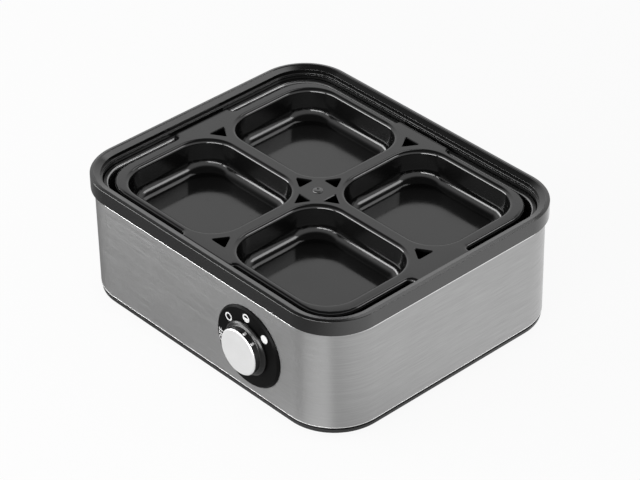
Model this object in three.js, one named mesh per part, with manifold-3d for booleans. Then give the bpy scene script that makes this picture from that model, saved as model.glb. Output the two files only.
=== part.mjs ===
import * as THREE from "three";
import { mergeVertices } from "three/addons/utils/BufferGeometryUtils.js";
import Module from "manifold-3d";

const wasm = await Module();
wasm.setup();

// Counter-top egg boiler with four poaching wells, in millimetres. The dial looks along -Y and the
// feet stand on z = 0. The origin lies on the floor under the middle of the outline, knob included.

// Housing
const bodyWidth = 200;
const bodyDepth = 168;
const rimCornerRadius = 28.6;
const sleeveCornerRadius = 29.5;
const baseCornerRadius = 24.5;
const footDrop = 3;
const baseStripHeight = 3.5;
const sleeveShow = 57.8;
const rimBandHeight = 9;

// Clearances and counts shared by all pieces
const fit = 0.3;
const overrun = 1;
const leastRadius = 0.5;
const cornerSteps = 6;
const roundSteps = 3;
const roundShare = 1 - Math.SQRT1_2;

// Sleeve: a closed band of stainless sheet, tucked up into the rim
const sleeveInset = 1.2;
const sleeveWall = 0.8;
const sleeveTuck = 4.7;

// Rim moulding
const rimEdgeRound = 1.4;
const crownWidth = 2.2;
const landDrop = 0.6;
const lipWidth = 5.4;
const lipEdgeRound = 0.6;
const lidStepDepth = 3.5;
const lidStepWidth = 1;
const flangeDepth = 6.5;
const rimLedgeWidth = 1.8;
const rimWall = 1.6;
const rimSkirtDrop = 3;

// Heating bowl and its seal
const bowlWall = 1.2;
const sealHeight = 0.8;
const sealWidth = 1.3;
const flangeWidth = 2.3;
const shoulderWidth = 3.2;
const shoulderDrop = 5.8;
const bowlDepth = 28.8;
const bowlDraft = 1;
const bowlFloorRound = 7;

// Weld posts and studs under the bowl
const postInsetX = 36;
const postInsetY = 34;
const postRadius = 3.6;
const postLength = 8.8;
const postBoreRadius = 2.2;
const postBoreDepth = 7;
const clampStudRadius = 2;
const clampStudLength = 16.9;
const limiterStudX = 12;
const limiterStudRadius = 1.5;
const limiterStudLength = 5.8;
const earthStudX = -12;
const earthStudInset = 32;

// Base pan
const baseProud = 0.8;
const panChamfer = 1.6;
const panEdge = 0.3;
const panFloor = 2;
const upstandHeight = 7;
const upstandWall = 1.8;
const towerRadius = 5;
const towerBoreRadius = 2.3;
const screwHeadRadius = 3.6;
const screwHeadHeight = 2.2;
const screwSink = 0.8;
const screwShankRadius = 1.9;
const ventCount = 5;
const ventPitch = 9;
const ventLength = 40;
const ventWidth = 4;

// Feet, pushed into the pan
const footInset = 24;
const footRadius = 8;
const footNeckRadius = 2.8;
const footBarbRadius = 3.6;
const footBarbHeight = 1.5;
const footRecessRadius = 5;
const footRecessDepth = 1.2;

// Cooking tray
const gutterX = 7;
const gutterY = 5.2;
const trayCornerRadius = 20;
const trayWall = 1.5;
const trayEdgeRound = 0.8;
const trayRimHeight = 2.4;
const ribWidth = 9;
const bandX = 7.4;
const bandY = 4.8;
const wellCornerRadius = 18;
const wellDepth = 17;
const wellDraft = 1;
const wellFloorRound = 7;
const mouthRound = 2.2;
const tabWidth = 38;
const tabClearance = 1;
const tabCornerRadius = 2;
const hubHoleNear = 8.8;
const hubHoleFar = 16.4;
const hubHoleHalf = 4.4;
const sideHoleInset = 1;
const sideHoleLength = 8;
const sideHoleHalf = 5;
const holeCornerShare = 0.18;
const rivetHeadRadius = 2.7;
const rivetHeadHeight = 0.8;
const rivetShankRadius = 1.5;
const rivetTailRadius = 2.2;
const rivetTailHeight = 0.7;

// Dial and knob; their heights count outwards from the sleeve's face
const dialInset = 60.8;
const dialZ = 33.7;
const dialRadius = 23;
const dialThickness = 1.4;
const dialChamfer = 1;
const bushRadius = 4.5;
const bushLength = 3.6;
const nutThickness = 1.5;
const controlNutFlats = 12;
const washerThickness = 0.4;
const washerRadius = 7.5;
const knobSkirtRadius = 15;
const knobSkirtHeight = 1.8;
const knobSkirtEdge = 0.5;
const knobNeckRadius = 13;
const knobTopRadius = 12.5;
const knobHeight = 5;
const knobCavityRadius = 8.2;
const knobCavityDepth = 2.2;
const knobBoreDepth = 4.1;
const capRadius = 12.7;
const capThickness = 0.9;
const capBevel = 0.3;
const capSpigotRadius = 11.5;
const capSpigotHeight = 0.5;

// Rotary control behind the sleeve
const controlRadius = 14;
const controlDepth = 7;
const controlFootHalf = 11;
const controlFootDrop = 17;
const shaftRadius = 3;
const shaftFlatDepth = 1;
const shaftTailDepth = 5;
const tagWidth = 4.8;
const tagThickness = 0.8;
const controlTagLength = 4.5;
const controlTagPitch = 12;
const controlTagSetback = 4.9;

// Tubular heater and its clamps
const heaterHalfX = 55;
const heaterInsetY = 46;
const heaterRadius = 3.3;
const heaterBend = 14;
const heaterLegX = 8;
const heaterLegLength = 16;
const heaterSteps = 60;
const heaterSides = 8;
const pinRadius = 1.2;
const pinLength = 5.7;
const barInset = 17;
const barWidth = 12;
const barThickness = 1.5;
const barOverhang = 5;
const clampNutFlats = 7;
const clampNutHeight = 3.2;
const smallNutFlats = 5.5;
const smallNutHeight = 2.4;
const shieldThickness = 0.8;
const shieldMarginX = 6;
const shieldMarginY = 5;
const shieldCornerRadius = 16;

// Limiter, thermal fuse and earth tag
const limiterRadius = 8;
const limiterHeight = 9;
const limiterFlangeThickness = 1;
const limiterEarRadius = 3.4;
const limiterTagX = 4;
const limiterTagReach = 7;
const limiterTagDrop = 7.4;
const fuseX = 22;
const fuseRadius = 2;
const fuseLength = 12;
const clipWidth = 8;
const clipThickness = 0.6;
const earthRingRadius = 4;
const earthTongueReach = 9;
const earthTongueHalf = 2;

// Mains inlet in the rear face
const inletCornerMargin = 3.3;
const inletZ = 24;
const inletEarMargin = 5;
const inletFlangeHeight = 27.4;
const inletFlangeThickness = 2.2;
const inletFlangeRadius = 4;
const inletBodyWidth = 27.2;
const inletBodyHeight = 19.6;
const inletBodyDepth = 17;
const inletWall = 1.6;
const inletCavityDepth = 13;
const inletScrewPitch = 40;
const inletScrewRadius = 1.5;
const inletScrewHeadRadius = 2.8;
const inletScrewLength = 6;
const inletPinWidth = 2;
const inletPinHeight = 4;
const inletPinReach = 11;
const inletPinTail = 7;
const livePinX = 7;
const livePinDrop = 1;
const earthPinRise = 3.5;

// Leads between the electrical pieces
const leadRadius = 1.2;
const leadSides = 8;
const leadSteps = 14;
const leadPassClearance = 0.7;
const leadDropZ = 12;

// Plan points of the leads in the order of their run, as shares of the way out to the weld posts
const liveFloorShares = [
  [-0.84, 0.4],
  [-0.84, -0.6],
  [-0.63, -1.24],
  [0, -1.44],
];
const switchedLowShares = [[0.56, -1.24]];
const switchedMiddleShares = [[0.34, -1.08]];
const switchedHighShares = [[0.16, -0.98]];
const heaterLeadShares = [[-0.09, -1.12]];
const neutralPassShares = [
  [-0.47, 1],
  [-0.22, 0.72],
  [0.12, 0.48],
];
const fusePassShares = [
  [0.3, -0.76],
  [0.25, -1.08],
];

// Derived places in plan
const postX = bodyWidth / 2 - postInsetX;
const postY = bodyDepth / 2 - postInsetY;
const footX = bodyWidth / 2 - footInset;
const footY = bodyDepth / 2 - footInset;
const earthStudY = bodyDepth / 2 - earthStudInset;
const heaterHalfY = bodyDepth / 2 - heaterInsetY;
const clampStudX = heaterHalfX - barInset;
const heaterLegEnd = heaterHalfY + heaterLegLength;
const dialX = bodyWidth / 2 - dialInset;
const sleeveFlatX = bodyWidth / 2 - sleeveInset - sleeveCornerRadius;
const inletFlangeWidth = inletScrewPitch + 2 * inletEarMargin;
const inletX = inletScrewPitch / 2 + inletCornerMargin - sleeveFlatX;

// Derived heights
const baseZ = footDrop;
const sleeveZ = baseZ + baseStripHeight;
const rimZ = sleeveZ + sleeveShow;
const lipZ = rimZ + rimBandHeight;
const grooveZ = rimZ + sleeveTuck + fit;
const flangeZ = lipZ - flangeDepth;
const rimLedgeZ = flangeZ - bowlWall - sealHeight;
const trayTopZ = flangeZ + fit + trayWall;
const bowlFloorZ = flangeZ - bowlDepth;
const underBowlZ = bowlFloorZ - bowlWall;
const towerTopZ = underBowlZ - postLength;
const postBoreTopZ = towerTopZ + postBoreDepth;
const panFloorZ = baseZ + panFloor;
const screwLowZ = baseZ + screwSink;
const screwHeadTopZ = screwLowZ + screwHeadHeight;
const heaterZ = underBowlZ - fit - heaterRadius;
const barZ = heaterZ - heaterRadius - fit - barThickness;
const clampNutZ = barZ - clampNutHeight;
const shieldZ = clampNutZ - shieldThickness;
const limiterFlangeZ = underBowlZ - fit - limiterFlangeThickness;

// Derived insets from the rim's outer face and half sizes
const rimInnerInset = lipWidth + lidStepWidth + rimLedgeWidth;
const flangeOuterInset = lipWidth + lidStepWidth + fit;
const bowlMouthInset = flangeOuterInset + flangeWidth;
const bowlWallInset = bowlMouthInset + shoulderWidth;
const trayHalfX = bodyWidth / 2 - lipWidth - gutterX;
const trayHalfY = bodyDepth / 2 - lipWidth - gutterY;
const wellHalfX = (trayHalfX - bandX - ribWidth / 2) / 2;
const wellHalfY = (trayHalfY - bandY - ribWidth / 2) / 2;
const wellX = ribWidth / 2 + wellHalfX;
const wellY = ribWidth / 2 + wellHalfY;
const sleeveFaceY = bodyDepth / 2 - sleeveInset;
const knobReach = dialThickness + fit + knobHeight + capThickness;
const frontReach = sleeveFaceY + knobReach;
const rearReach = sleeveFaceY + inletFlangeThickness;

const rimOutline = { halfX: bodyWidth / 2, halfY: bodyDepth / 2, radius: rimCornerRadius };
const sleeveOutline = {
  halfX: bodyWidth / 2 - sleeveInset,
  halfY: sleeveFaceY,
  radius: sleeveCornerRadius,
};
const baseOutline = {
  halfX: sleeveOutline.halfX + baseProud,
  halfY: sleeveOutline.halfY + baseProud,
  radius: baseCornerRadius,
};
const trayOutline = { halfX: trayHalfX, halfY: trayHalfY, radius: trayCornerRadius };
const wellOutline = { halfX: wellHalfX, halfY: wellHalfY, radius: wellCornerRadius };

// Finishes
function finish(color, roughness, metalness) {
  return new THREE.MeshStandardMaterial({ color, roughness, metalness });
}
const blackPlastic = finish(0x2c2e2f, 0.42, 0);
const glossBlack = finish(0x16181a, 0.2, 0);
const brushedSteel = finish(0xb4b5b6, 0.36, 1);
const coatedBowl = finish(0x1b1c1d, 0.3, 0.2);
const silverCap = finish(0xd9dadb, 0.3, 0.8);
const zincSteel = finish(0xa9adb0, 0.4, 1);
const brass = finish(0xc2a45c, 0.35, 1);
const heaterSheath = finish(0x77736c, 0.55, 0.9);
const footRubber = finish(0x1d1d1d, 0.85, 0);
const silicone = finish(0x9a3b2c, 0.7, 0);
const phenolic = finish(0x3a2a20, 0.6, 0);
const ceramicWhite = finish(0xe4e0d6, 0.5, 0);
const leadBrown = finish(0x6b3f23, 0.6, 0);
const leadBlue = finish(0x2a4f93, 0.6, 0);
const leadRed = finish(0xa8322a, 0.6, 0);
const leadGreen = finish(0x3f8f3a, 0.6, 0);

// Solids: a closed geometry becomes a solid for joins and cuts, and comes back as a geometry
function toSolid(geometry) {
  const plain = geometry.clone();
  plain.deleteAttribute("normal");
  plain.deleteAttribute("uv");
  const merged = mergeVertices(plain);
  const place = merged.attributes.position;
  const corners = [];
  let volume = 0;
  const [a, b, c] = [new THREE.Vector3(), new THREE.Vector3(), new THREE.Vector3()];
  for (let i = 0; i < merged.index.count; i += 3) {
    const face = [merged.index.getX(i), merged.index.getX(i + 1), merged.index.getX(i + 2)];
    if (new Set(face).size < face.length) continue;
    corners.push(face);
    a.fromBufferAttribute(place, face[0]);
    b.fromBufferAttribute(place, face[1]);
    c.fromBufferAttribute(place, face[2]);
    volume += a.dot(b.cross(c));
  }
  if (volume < 0) corners.forEach((face) => face.reverse());
  return new wasm.Manifold(
    new wasm.Mesh({
      numProp: 3,
      vertProperties: new Float32Array(place.array),
      triVerts: new Uint32Array(corners.flat()),
    }),
  );
}

function toGeometry(body) {
  const mesh = body.getMesh();
  const geometry = new THREE.BufferGeometry();
  geometry.setAttribute("position", new THREE.BufferAttribute(mesh.vertProperties, 3));
  geometry.setIndex(new THREE.BufferAttribute(mesh.triVerts, 1));
  geometry.computeVertexNormals();
  return geometry;
}

function join(first, ...others) {
  return toGeometry(others.reduce((sum, other) => sum.add(toSolid(other)), toSolid(first)));
}

function cut(first, ...cutters) {
  return toGeometry(cutters.reduce((rest, cutter) => rest.subtract(toSolid(cutter)), toSolid(first)));
}

// One level of a loft: a rounded rectangle with its half sizes, corner radius and height
function level(outline, inset, z) {
  return {
    halfX: outline.halfX - inset,
    halfY: outline.halfY - inset,
    radius: Math.max(outline.radius - inset, leastRadius),
    z,
  };
}

// Levels of a round bottom edge, from the wall down to the floor
function roundedEdge(outline, inset, z, radius, steps) {
  const levels = [];
  for (let step = 0; step <= steps; step += 1) {
    const angle = (step * Math.PI) / (2 * steps);
    levels.push(level(outline, inset - radius * Math.cos(angle), z - radius * Math.sin(angle)));
  }
  return levels;
}

// Loft through levels, with flat ends, or closed on itself as a ring
function loft(levels, isRing = false) {
  const perLevel = 4 * (cornerSteps + 1);
  const points = [];
  const faces = [];
  for (const { halfX, halfY, radius, z } of levels) {
    for (let quarter = 0; quarter < 4; quarter += 1) {
      const signX = quarter === 0 || quarter === 3 ? 1 : -1;
      const signY = quarter < 2 ? 1 : -1;
      for (let step = 0; step <= cornerSteps; step += 1) {
        const angle = ((quarter + step / cornerSteps) * Math.PI) / 2;
        const x = signX * (halfX - radius) + radius * Math.cos(angle);
        const y = signY * (halfY - radius) + radius * Math.sin(angle);
        points.push(x, y, z);
      }
    }
  }
  const spans = isRing ? levels.length : levels.length - 1;
  for (let span = 0; span < spans; span += 1) {
    const low = span * perLevel;
    const high = ((span + 1) % levels.length) * perLevel;
    for (let i = 0; i < perLevel; i += 1) {
      const next = (i + 1) % perLevel;
      faces.push(low + i, low + next, high + next);
      faces.push(low + i, high + next, high + i);
    }
  }
  if (!isRing) {
    const top = (levels.length - 1) * perLevel;
    const lowCentre = points.length / 3;
    points.push(0, 0, levels[0].z, 0, 0, levels[levels.length - 1].z);
    for (let i = 0; i < perLevel; i += 1) {
      const next = (i + 1) % perLevel;
      faces.push(lowCentre, next, i);
      faces.push(lowCentre + 1, top + i, top + next);
    }
  }
  const geometry = new THREE.BufferGeometry();
  geometry.setAttribute("position", new THREE.Float32BufferAttribute(points, 3));
  geometry.setIndex(faces);
  geometry.computeVertexNormals();
  return geometry;
}

// Plain forms that stand on a height and point along +Z
function rod(radius, low, high, x = 0, y = 0, sides = 20) {
  const geometry = new THREE.CylinderGeometry(radius, radius, high - low, sides);
  geometry.rotateX(Math.PI / 2);
  geometry.translate(x, y, (low + high) / 2);
  return geometry;
}

function block(sizeX, sizeY, low, high, x = 0, y = 0) {
  const geometry = new THREE.BoxGeometry(sizeX, sizeY, high - low);
  geometry.translate(x, y, (low + high) / 2);
  return geometry;
}

function plate(halfX, halfY, radius, low, high) {
  const outline = { halfX, halfY, radius };
  return loft([level(outline, 0, low), level(outline, 0, high)]);
}

function hexNut(flats, boreRadius, low, high, x = 0, y = 0) {
  const outer = rod(flats / Math.sqrt(3), low, high, x, y, 6);
  return cut(outer, rod(boreRadius, low - overrun, high + overrun, x, y, 16));
}

// A profile of radius and height pairs turned about Z
function turned(profile, sides) {
  const points = profile.map(([radius, z]) => new THREE.Vector2(radius, z));
  const geometry = new THREE.LatheGeometry(points, sides);
  geometry.rotateX(Math.PI / 2);
  return toGeometry(toSolid(geometry));
}

function prism(corners, low, high) {
  const shape = new THREE.Shape(corners.map(([x, y]) => new THREE.Vector2(x, y)));
  const geometry = new THREE.ExtrudeGeometry(shape, { depth: high - low, bevelEnabled: false });
  geometry.translate(0, 0, low);
  return geometry;
}

// A round tube along a curve
function tube(curve, radius, sides, steps) {
  const section = new THREE.Shape();
  for (let side = 0; side < sides; side += 1) {
    const angle = (2 * Math.PI * side) / sides;
    const [x, y] = [radius * Math.cos(angle), radius * Math.sin(angle)];
    if (side === 0) section.moveTo(x, y);
    else section.lineTo(x, y);
  }
  return new THREE.ExtrudeGeometry(section, { steps, extrudePath: curve, bevelEnabled: false });
}

function fourCorners(x, y) {
  return [
    [x, y],
    [-x, y],
    [-x, -y],
    [x, -y],
  ];
}

// Scene graph: the housing, with a group on its front face for the dial and one on its rear for the inlet
const boiler = new THREE.Group();
const housing = new THREE.Group();
housing.position.y = (frontReach - rearReach) / 2;
boiler.add(housing);

const dialGroup = new THREE.Group();
dialGroup.position.set(dialX, -sleeveFaceY, dialZ);
dialGroup.rotation.x = Math.PI / 2;
housing.add(dialGroup);

const inletGroup = new THREE.Group();
inletGroup.position.set(inletX, sleeveFaceY, inletZ);
inletGroup.rotation.set(-Math.PI / 2, 0, Math.PI);
housing.add(inletGroup);

function place(name, geometry, material, group = housing) {
  const mesh = new THREE.Mesh(geometry, material);
  mesh.name = name;
  group.add(mesh);
}

// Top rim: one moulding with a crown, a land, a step for a lid and a groove for the sleeve
function makeTopRim() {
  const stepInset = lipWidth + lidStepWidth;
  const landZ = lipZ - landDrop;
  const grooveInner = sleeveWall + fit;
  return loft(
    [
      level(rimOutline, 0, rimZ),
      level(rimOutline, 0, lipZ - rimEdgeRound),
      level(rimOutline, rimEdgeRound * roundShare, lipZ - rimEdgeRound * roundShare),
      level(rimOutline, rimEdgeRound, lipZ),
      level(rimOutline, crownWidth, lipZ),
      level(rimOutline, crownWidth + landDrop / 2, landZ),
      level(rimOutline, lipWidth - lipEdgeRound, landZ),
      level(rimOutline, lipWidth, landZ - lipEdgeRound),
      level(rimOutline, lipWidth, lipZ - lidStepDepth),
      level(rimOutline, stepInset, lipZ - lidStepDepth),
      level(rimOutline, stepInset, rimLedgeZ),
      level(rimOutline, rimInnerInset, rimLedgeZ),
      level(rimOutline, rimInnerInset, rimLedgeZ - rimSkirtDrop),
      level(rimOutline, rimInnerInset - rimWall, rimLedgeZ - rimSkirtDrop),
      level(rimOutline, rimInnerInset - rimWall, rimLedgeZ - rimWall),
      level(sleeveOutline, grooveInner, rimLedgeZ - rimWall),
      level(sleeveOutline, grooveInner, grooveZ),
      level(sleeveOutline, -fit, grooveZ),
      level(sleeveOutline, -fit, rimZ),
    ],
    true,
  );
}

function makeSleeve() {
  const top = rimZ + sleeveTuck;
  const band = loft(
    [
      level(sleeveOutline, 0, sleeveZ),
      level(sleeveOutline, 0, top),
      level(sleeveOutline, sleeveWall, top),
      level(sleeveOutline, sleeveWall, sleeveZ),
    ],
    true,
  );
  const throughFront = [-sleeveWall - overrun, overrun];
  const bushHole = rod(bushRadius + fit, ...throughFront);
  bushHole.rotateX(Math.PI / 2);
  bushHole.translate(dialX, -sleeveFaceY, dialZ);
  const inletHoles = [
    block(inletBodyWidth + 2 * fit, inletBodyHeight + 2 * fit, ...throughFront),
    rod(inletScrewRadius + fit, ...throughFront, inletScrewPitch / 2, 0, 12),
    rod(inletScrewRadius + fit, ...throughFront, -inletScrewPitch / 2, 0, 12),
  ];
  for (const hole of inletHoles) {
    hole.rotateX(-Math.PI / 2);
    hole.translate(inletX, sleeveFaceY, inletZ);
  }
  return cut(band, bushHole, ...inletHoles);
}

// Heating bowl: flange, shoulder, wall and floor in one pressing, with posts and studs welded below
function makeBowl() {
  const roundInset = bowlWallInset + bowlDraft + bowlFloorRound;
  const roundZ = bowlFloorZ + bowlFloorRound;
  const shoulderZ = flangeZ - shoulderDrop;
  const shell = loft([
    ...roundedEdge(rimOutline, roundInset, roundZ, bowlFloorRound + bowlWall, roundSteps).reverse(),
    level(rimOutline, bowlWallInset - bowlWall, shoulderZ - bowlWall / 2),
    level(rimOutline, bowlMouthInset - bowlWall / 2, flangeZ - bowlWall),
    level(rimOutline, flangeOuterInset, flangeZ - bowlWall),
    level(rimOutline, flangeOuterInset, flangeZ),
    level(rimOutline, bowlMouthInset, flangeZ),
    level(rimOutline, bowlMouthInset + shoulderWidth * roundShare, flangeZ - shoulderDrop * roundShare),
    level(rimOutline, bowlWallInset, shoulderZ),
    ...roundedEdge(rimOutline, roundInset, roundZ, bowlFloorRound, roundSteps),
  ]);
  const weldZ = underBowlZ + bowlWall / 2;
  const places = fourCorners(postX, postY);
  const posts = places.map(([x, y]) => rod(postRadius, towerTopZ, weldZ, x, y, 16));
  const bores = places.map(([x, y]) => rod(postBoreRadius, towerTopZ - overrun, postBoreTopZ, x, y, 12));
  const clampStudLowZ = underBowlZ - clampStudLength;
  const smallStudLowZ = underBowlZ - limiterStudLength;
  const studs = [
    rod(clampStudRadius, clampStudLowZ, weldZ, clampStudX, 0, 12),
    rod(clampStudRadius, clampStudLowZ, weldZ, -clampStudX, 0, 12),
    rod(limiterStudRadius, smallStudLowZ, weldZ, limiterStudX, 0, 10),
    rod(limiterStudRadius, smallStudLowZ, weldZ, -limiterStudX, 0, 10),
    rod(limiterStudRadius, smallStudLowZ, weldZ, earthStudX, earthStudY, 10),
  ];
  return cut(join(shell, ...posts, ...studs), ...bores);
}

function makeSeal() {
  const outer = flangeOuterInset;
  const inner = outer + sealWidth;
  const top = rimLedgeZ + sealHeight;
  return loft(
    [
      level(rimOutline, outer, rimLedgeZ),
      level(rimOutline, outer, top),
      level(rimOutline, inner, top),
      level(rimOutline, inner, rimLedgeZ),
    ],
    true,
  );
}

// A triangular hole with cut corners: its base lies at "near", its point at "far" along the direction
function trianglePrism(near, far, half, angle, low, high) {
  const tips = [
    [near, -half],
    [far, 0],
    [near, half],
  ];
  const corners = [];
  tips.forEach((tip, i) => {
    const before = tips[(i + 2) % 3];
    const after = tips[(i + 1) % 3];
    for (const other of [before, after]) {
      corners.push([
        tip[0] + (other[0] - tip[0]) * holeCornerShare,
        tip[1] + (other[1] - tip[1]) * holeCornerShare,
      ]);
    }
  });
  const geometry = prism(corners, low, high);
  geometry.rotateZ(angle);
  return geometry;
}

// Cooking tray: a plate with four hollow wells, a rolled edge and a tab in the middle of each side
function makeTray() {
  const plateLowZ = trayTopZ - trayWall;
  const sheet = loft([
    level(trayOutline, 0, plateLowZ),
    level(trayOutline, 0, trayTopZ - trayEdgeRound),
    level(trayOutline, trayEdgeRound, trayTopZ),
  ]);
  const rolledEdge = loft(
    [
      level(trayOutline, 0, trayTopZ - trayRimHeight),
      level(trayOutline, 0, trayTopZ - trayWall / 2),
      level(trayOutline, trayWall, trayTopZ - trayWall / 2),
      level(trayOutline, trayWall, trayTopZ - trayRimHeight),
    ],
    true,
  );
  const tabInset = lipWidth + lidStepWidth + tabClearance;
  const tabHalf = tabWidth / 2;
  const tabAlongX = plate(bodyWidth / 2 - tabInset, tabHalf, tabCornerRadius, plateLowZ, trayTopZ);
  const tabAlongY = plate(tabHalf, bodyDepth / 2 - tabInset, tabCornerRadius, plateLowZ, trayTopZ);
  const roundInset = wellDraft + wellFloorRound;
  const roundZ = trayTopZ - wellDepth + wellFloorRound;
  const cups = [];
  const hollows = [];
  for (const [x, y] of fourCorners(wellX, wellY)) {
    const cup = loft([
      ...roundedEdge(wellOutline, roundInset, roundZ, wellFloorRound + trayWall, roundSteps).reverse(),
      level(wellOutline, -trayWall, plateLowZ + trayWall / 2),
    ]);
    const hollow = loft([
      ...roundedEdge(wellOutline, roundInset, roundZ, wellFloorRound, roundSteps).reverse(),
      level(wellOutline, 0, trayTopZ - mouthRound),
      level(wellOutline, -mouthRound * roundShare, trayTopZ - mouthRound * roundShare),
      level(wellOutline, -mouthRound, trayTopZ),
      level(wellOutline, -mouthRound, trayTopZ + overrun),
    ]);
    cup.translate(x, y, 0);
    hollow.translate(x, y, 0);
    cups.push(cup);
    hollows.push(hollow);
  }
  const through = [plateLowZ - overrun, trayTopZ + overrun];
  const holes = [];
  for (let quarter = 0; quarter < 4; quarter += 1) {
    const angle = (quarter * Math.PI) / 2;
    const wallLine = quarter % 2 === 0 ? trayHalfX - bandX : trayHalfY - bandY;
    const sideNear = wallLine - sideHoleInset;
    holes.push(trianglePrism(hubHoleNear, hubHoleFar, hubHoleHalf, angle, ...through));
    holes.push(trianglePrism(sideNear, sideNear - sideHoleLength, sideHoleHalf, angle, ...through));
  }
  holes.push(rod(rivetShankRadius + fit, ...through, 0, 0, 12));
  return cut(join(sheet, rolledEdge, tabAlongX, tabAlongY, ...cups), ...hollows, ...holes);
}

function makeRivet() {
  const low = trayTopZ - trayWall;
  return turned(
    [
      [0, low - rivetTailHeight],
      [rivetTailRadius, low - rivetTailHeight],
      [rivetTailRadius, low],
      [rivetShankRadius, low],
      [rivetShankRadius, trayTopZ],
      [rivetHeadRadius, trayTopZ],
      [rivetHeadRadius, trayTopZ + rivetHeadHeight / 2],
      [rivetHeadRadius / 2, trayTopZ + rivetHeadHeight],
      [0, trayTopZ + rivetHeadHeight],
    ],
    16,
  );
}

// Base pan: floor, outer strip, upstand inside the sleeve, screw towers, foot holes and vents
function makeBasePan() {
  const shell = loft([
    level(baseOutline, panChamfer, baseZ),
    level(baseOutline, 0, baseZ + panChamfer),
    level(baseOutline, 0, sleeveZ - panEdge),
    level(baseOutline, panEdge, sleeveZ),
    level(sleeveOutline, sleeveWall + fit, sleeveZ),
    level(sleeveOutline, sleeveWall + fit, sleeveZ + upstandHeight),
    level(sleeveOutline, sleeveWall + fit + upstandWall, sleeveZ + upstandHeight),
    level(sleeveOutline, sleeveWall + fit + upstandWall, panFloorZ),
  ]);
  const towerPlaces = fourCorners(postX, postY);
  const towers = towerPlaces.map(([x, y]) => rod(towerRadius, baseZ + panFloor / 2, towerTopZ, x, y, 20));
  const cutters = [];
  for (const [x, y] of towerPlaces) {
    cutters.push(rod(towerBoreRadius, baseZ - overrun, towerTopZ + overrun, x, y, 12));
    cutters.push(rod(screwHeadRadius + fit, baseZ - overrun, screwHeadTopZ + fit, x, y, 16));
  }
  for (const [x, y] of fourCorners(footX, footY)) {
    cutters.push(rod(footNeckRadius + fit, baseZ - overrun, panFloorZ + overrun, x, y, 12));
  }
  for (let vent = 0; vent < ventCount; vent += 1) {
    const y = (vent - (ventCount - 1) / 2) * ventPitch;
    cutters.push(block(ventLength, ventWidth, baseZ - overrun, panFloorZ + overrun, 0, y));
  }
  return cut(join(shell, ...towers), ...cutters);
}

function makeFoot(x, y) {
  const foot = turned(
    [
      [0, footRecessDepth],
      [footRecessRadius, footRecessDepth],
      [footRecessRadius, 0],
      [footRadius, 0],
      [footRadius, baseZ],
      [footNeckRadius, baseZ],
      [footNeckRadius, panFloorZ + fit],
      [footBarbRadius, panFloorZ + fit],
      [footNeckRadius, panFloorZ + fit + footBarbHeight],
      [0, panFloorZ + fit + footBarbHeight],
    ],
    18,
  );
  foot.translate(x, y, 0);
  return foot;
}

function makeTieScrew(x, y) {
  return join(
    rod(screwHeadRadius, screwLowZ, screwHeadTopZ, x, y, 14),
    rod(screwShankRadius, screwHeadTopZ - screwHeadHeight / 2, postBoreTopZ - fit, x, y, 10),
  );
}

// Dial plate, knob and control, all along the shaft axis; heights count outwards from the sleeve
const knobZ = dialThickness + fit;

function makeDialPlate() {
  const disc = turned(
    [
      [0, 0],
      [dialRadius, 0],
      [dialRadius, dialThickness - dialChamfer],
      [dialRadius - dialChamfer, dialThickness],
      [0, dialThickness],
    ],
    40,
  );
  return cut(disc, rod(bushRadius + fit, -overrun, dialThickness + overrun));
}

function makeKnobBody() {
  const boreRadius = shaftRadius + fit;
  const cavityZ = knobZ + knobCavityDepth;
  const topZ = knobZ + knobHeight;
  const skirtZ = knobZ + knobSkirtHeight;
  return turned(
    [
      [0, knobZ + knobBoreDepth],
      [boreRadius, knobZ + knobBoreDepth],
      [boreRadius, cavityZ],
      [knobCavityRadius, cavityZ],
      [knobCavityRadius, knobZ],
      [knobSkirtRadius, knobZ],
      [knobSkirtRadius, skirtZ],
      [knobSkirtRadius - knobSkirtEdge, skirtZ + knobSkirtEdge],
      [knobNeckRadius, skirtZ + knobSkirtEdge],
      [knobTopRadius, topZ],
      [capSpigotRadius + fit, topZ],
      [capSpigotRadius + fit, topZ - capSpigotHeight],
      [0, topZ - capSpigotHeight],
    ],
    32,
  );
}

function makeKnobCap() {
  const topZ = knobZ + knobHeight;
  return turned(
    [
      [0, topZ - capSpigotHeight],
      [capSpigotRadius, topZ - capSpigotHeight],
      [capSpigotRadius, topZ],
      [capRadius - capBevel, topZ],
      [capRadius, topZ + capBevel],
      [capRadius, topZ + capThickness - capBevel],
      [capRadius - capBevel, topZ + capThickness],
      [0, topZ + capThickness],
    ],
    32,
  );
}

function makeControlBody() {
  const front = -sleeveWall - fit;
  const back = front - controlDepth;
  const can = rod(controlRadius, back, front, 0, 0, 24);
  const footBlock = block(2 * controlFootHalf, controlFootDrop, back, front, 0, -controlFootDrop / 2);
  const bush = rod(bushRadius, front - overrun, bushLength, 0, 0, 16);
  const bore = rod(shaftRadius + fit, front - shaftTailDepth - fit, bushLength + overrun, 0, 0, 16);
  return cut(join(can, footBlock, bush), bore);
}

function makeControlShaft() {
  const tail = -sleeveWall - fit - shaftTailDepth;
  const tip = knobZ + knobBoreDepth - fit;
  const shaft = rod(shaftRadius, tail, tip, 0, 0, 16);
  const flatY = 1.5 * shaftRadius - shaftFlatDepth;
  const flat = block(2 * shaftRadius, shaftRadius, knobZ + knobCavityDepth, tip + overrun, 0, flatY);
  return cut(shaft, flat);
}

function makeControlWasher() {
  const high = dialThickness + washerThickness;
  const bore = rod(bushRadius + fit, dialThickness - overrun, high + overrun);
  return cut(rod(washerRadius, dialThickness, high), bore);
}

function makeControlNut() {
  const low = dialThickness + washerThickness;
  return hexNut(controlNutFlats, bushRadius + fit, low, low + nutThickness);
}

function makeControlTag(side) {
  const low = -sleeveWall - fit - controlTagSetback;
  const y = -controlFootDrop - controlTagLength / 2;
  return block(tagWidth, controlTagLength, low, low + tagThickness, (side * controlTagPitch) / 2, y);
}

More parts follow.
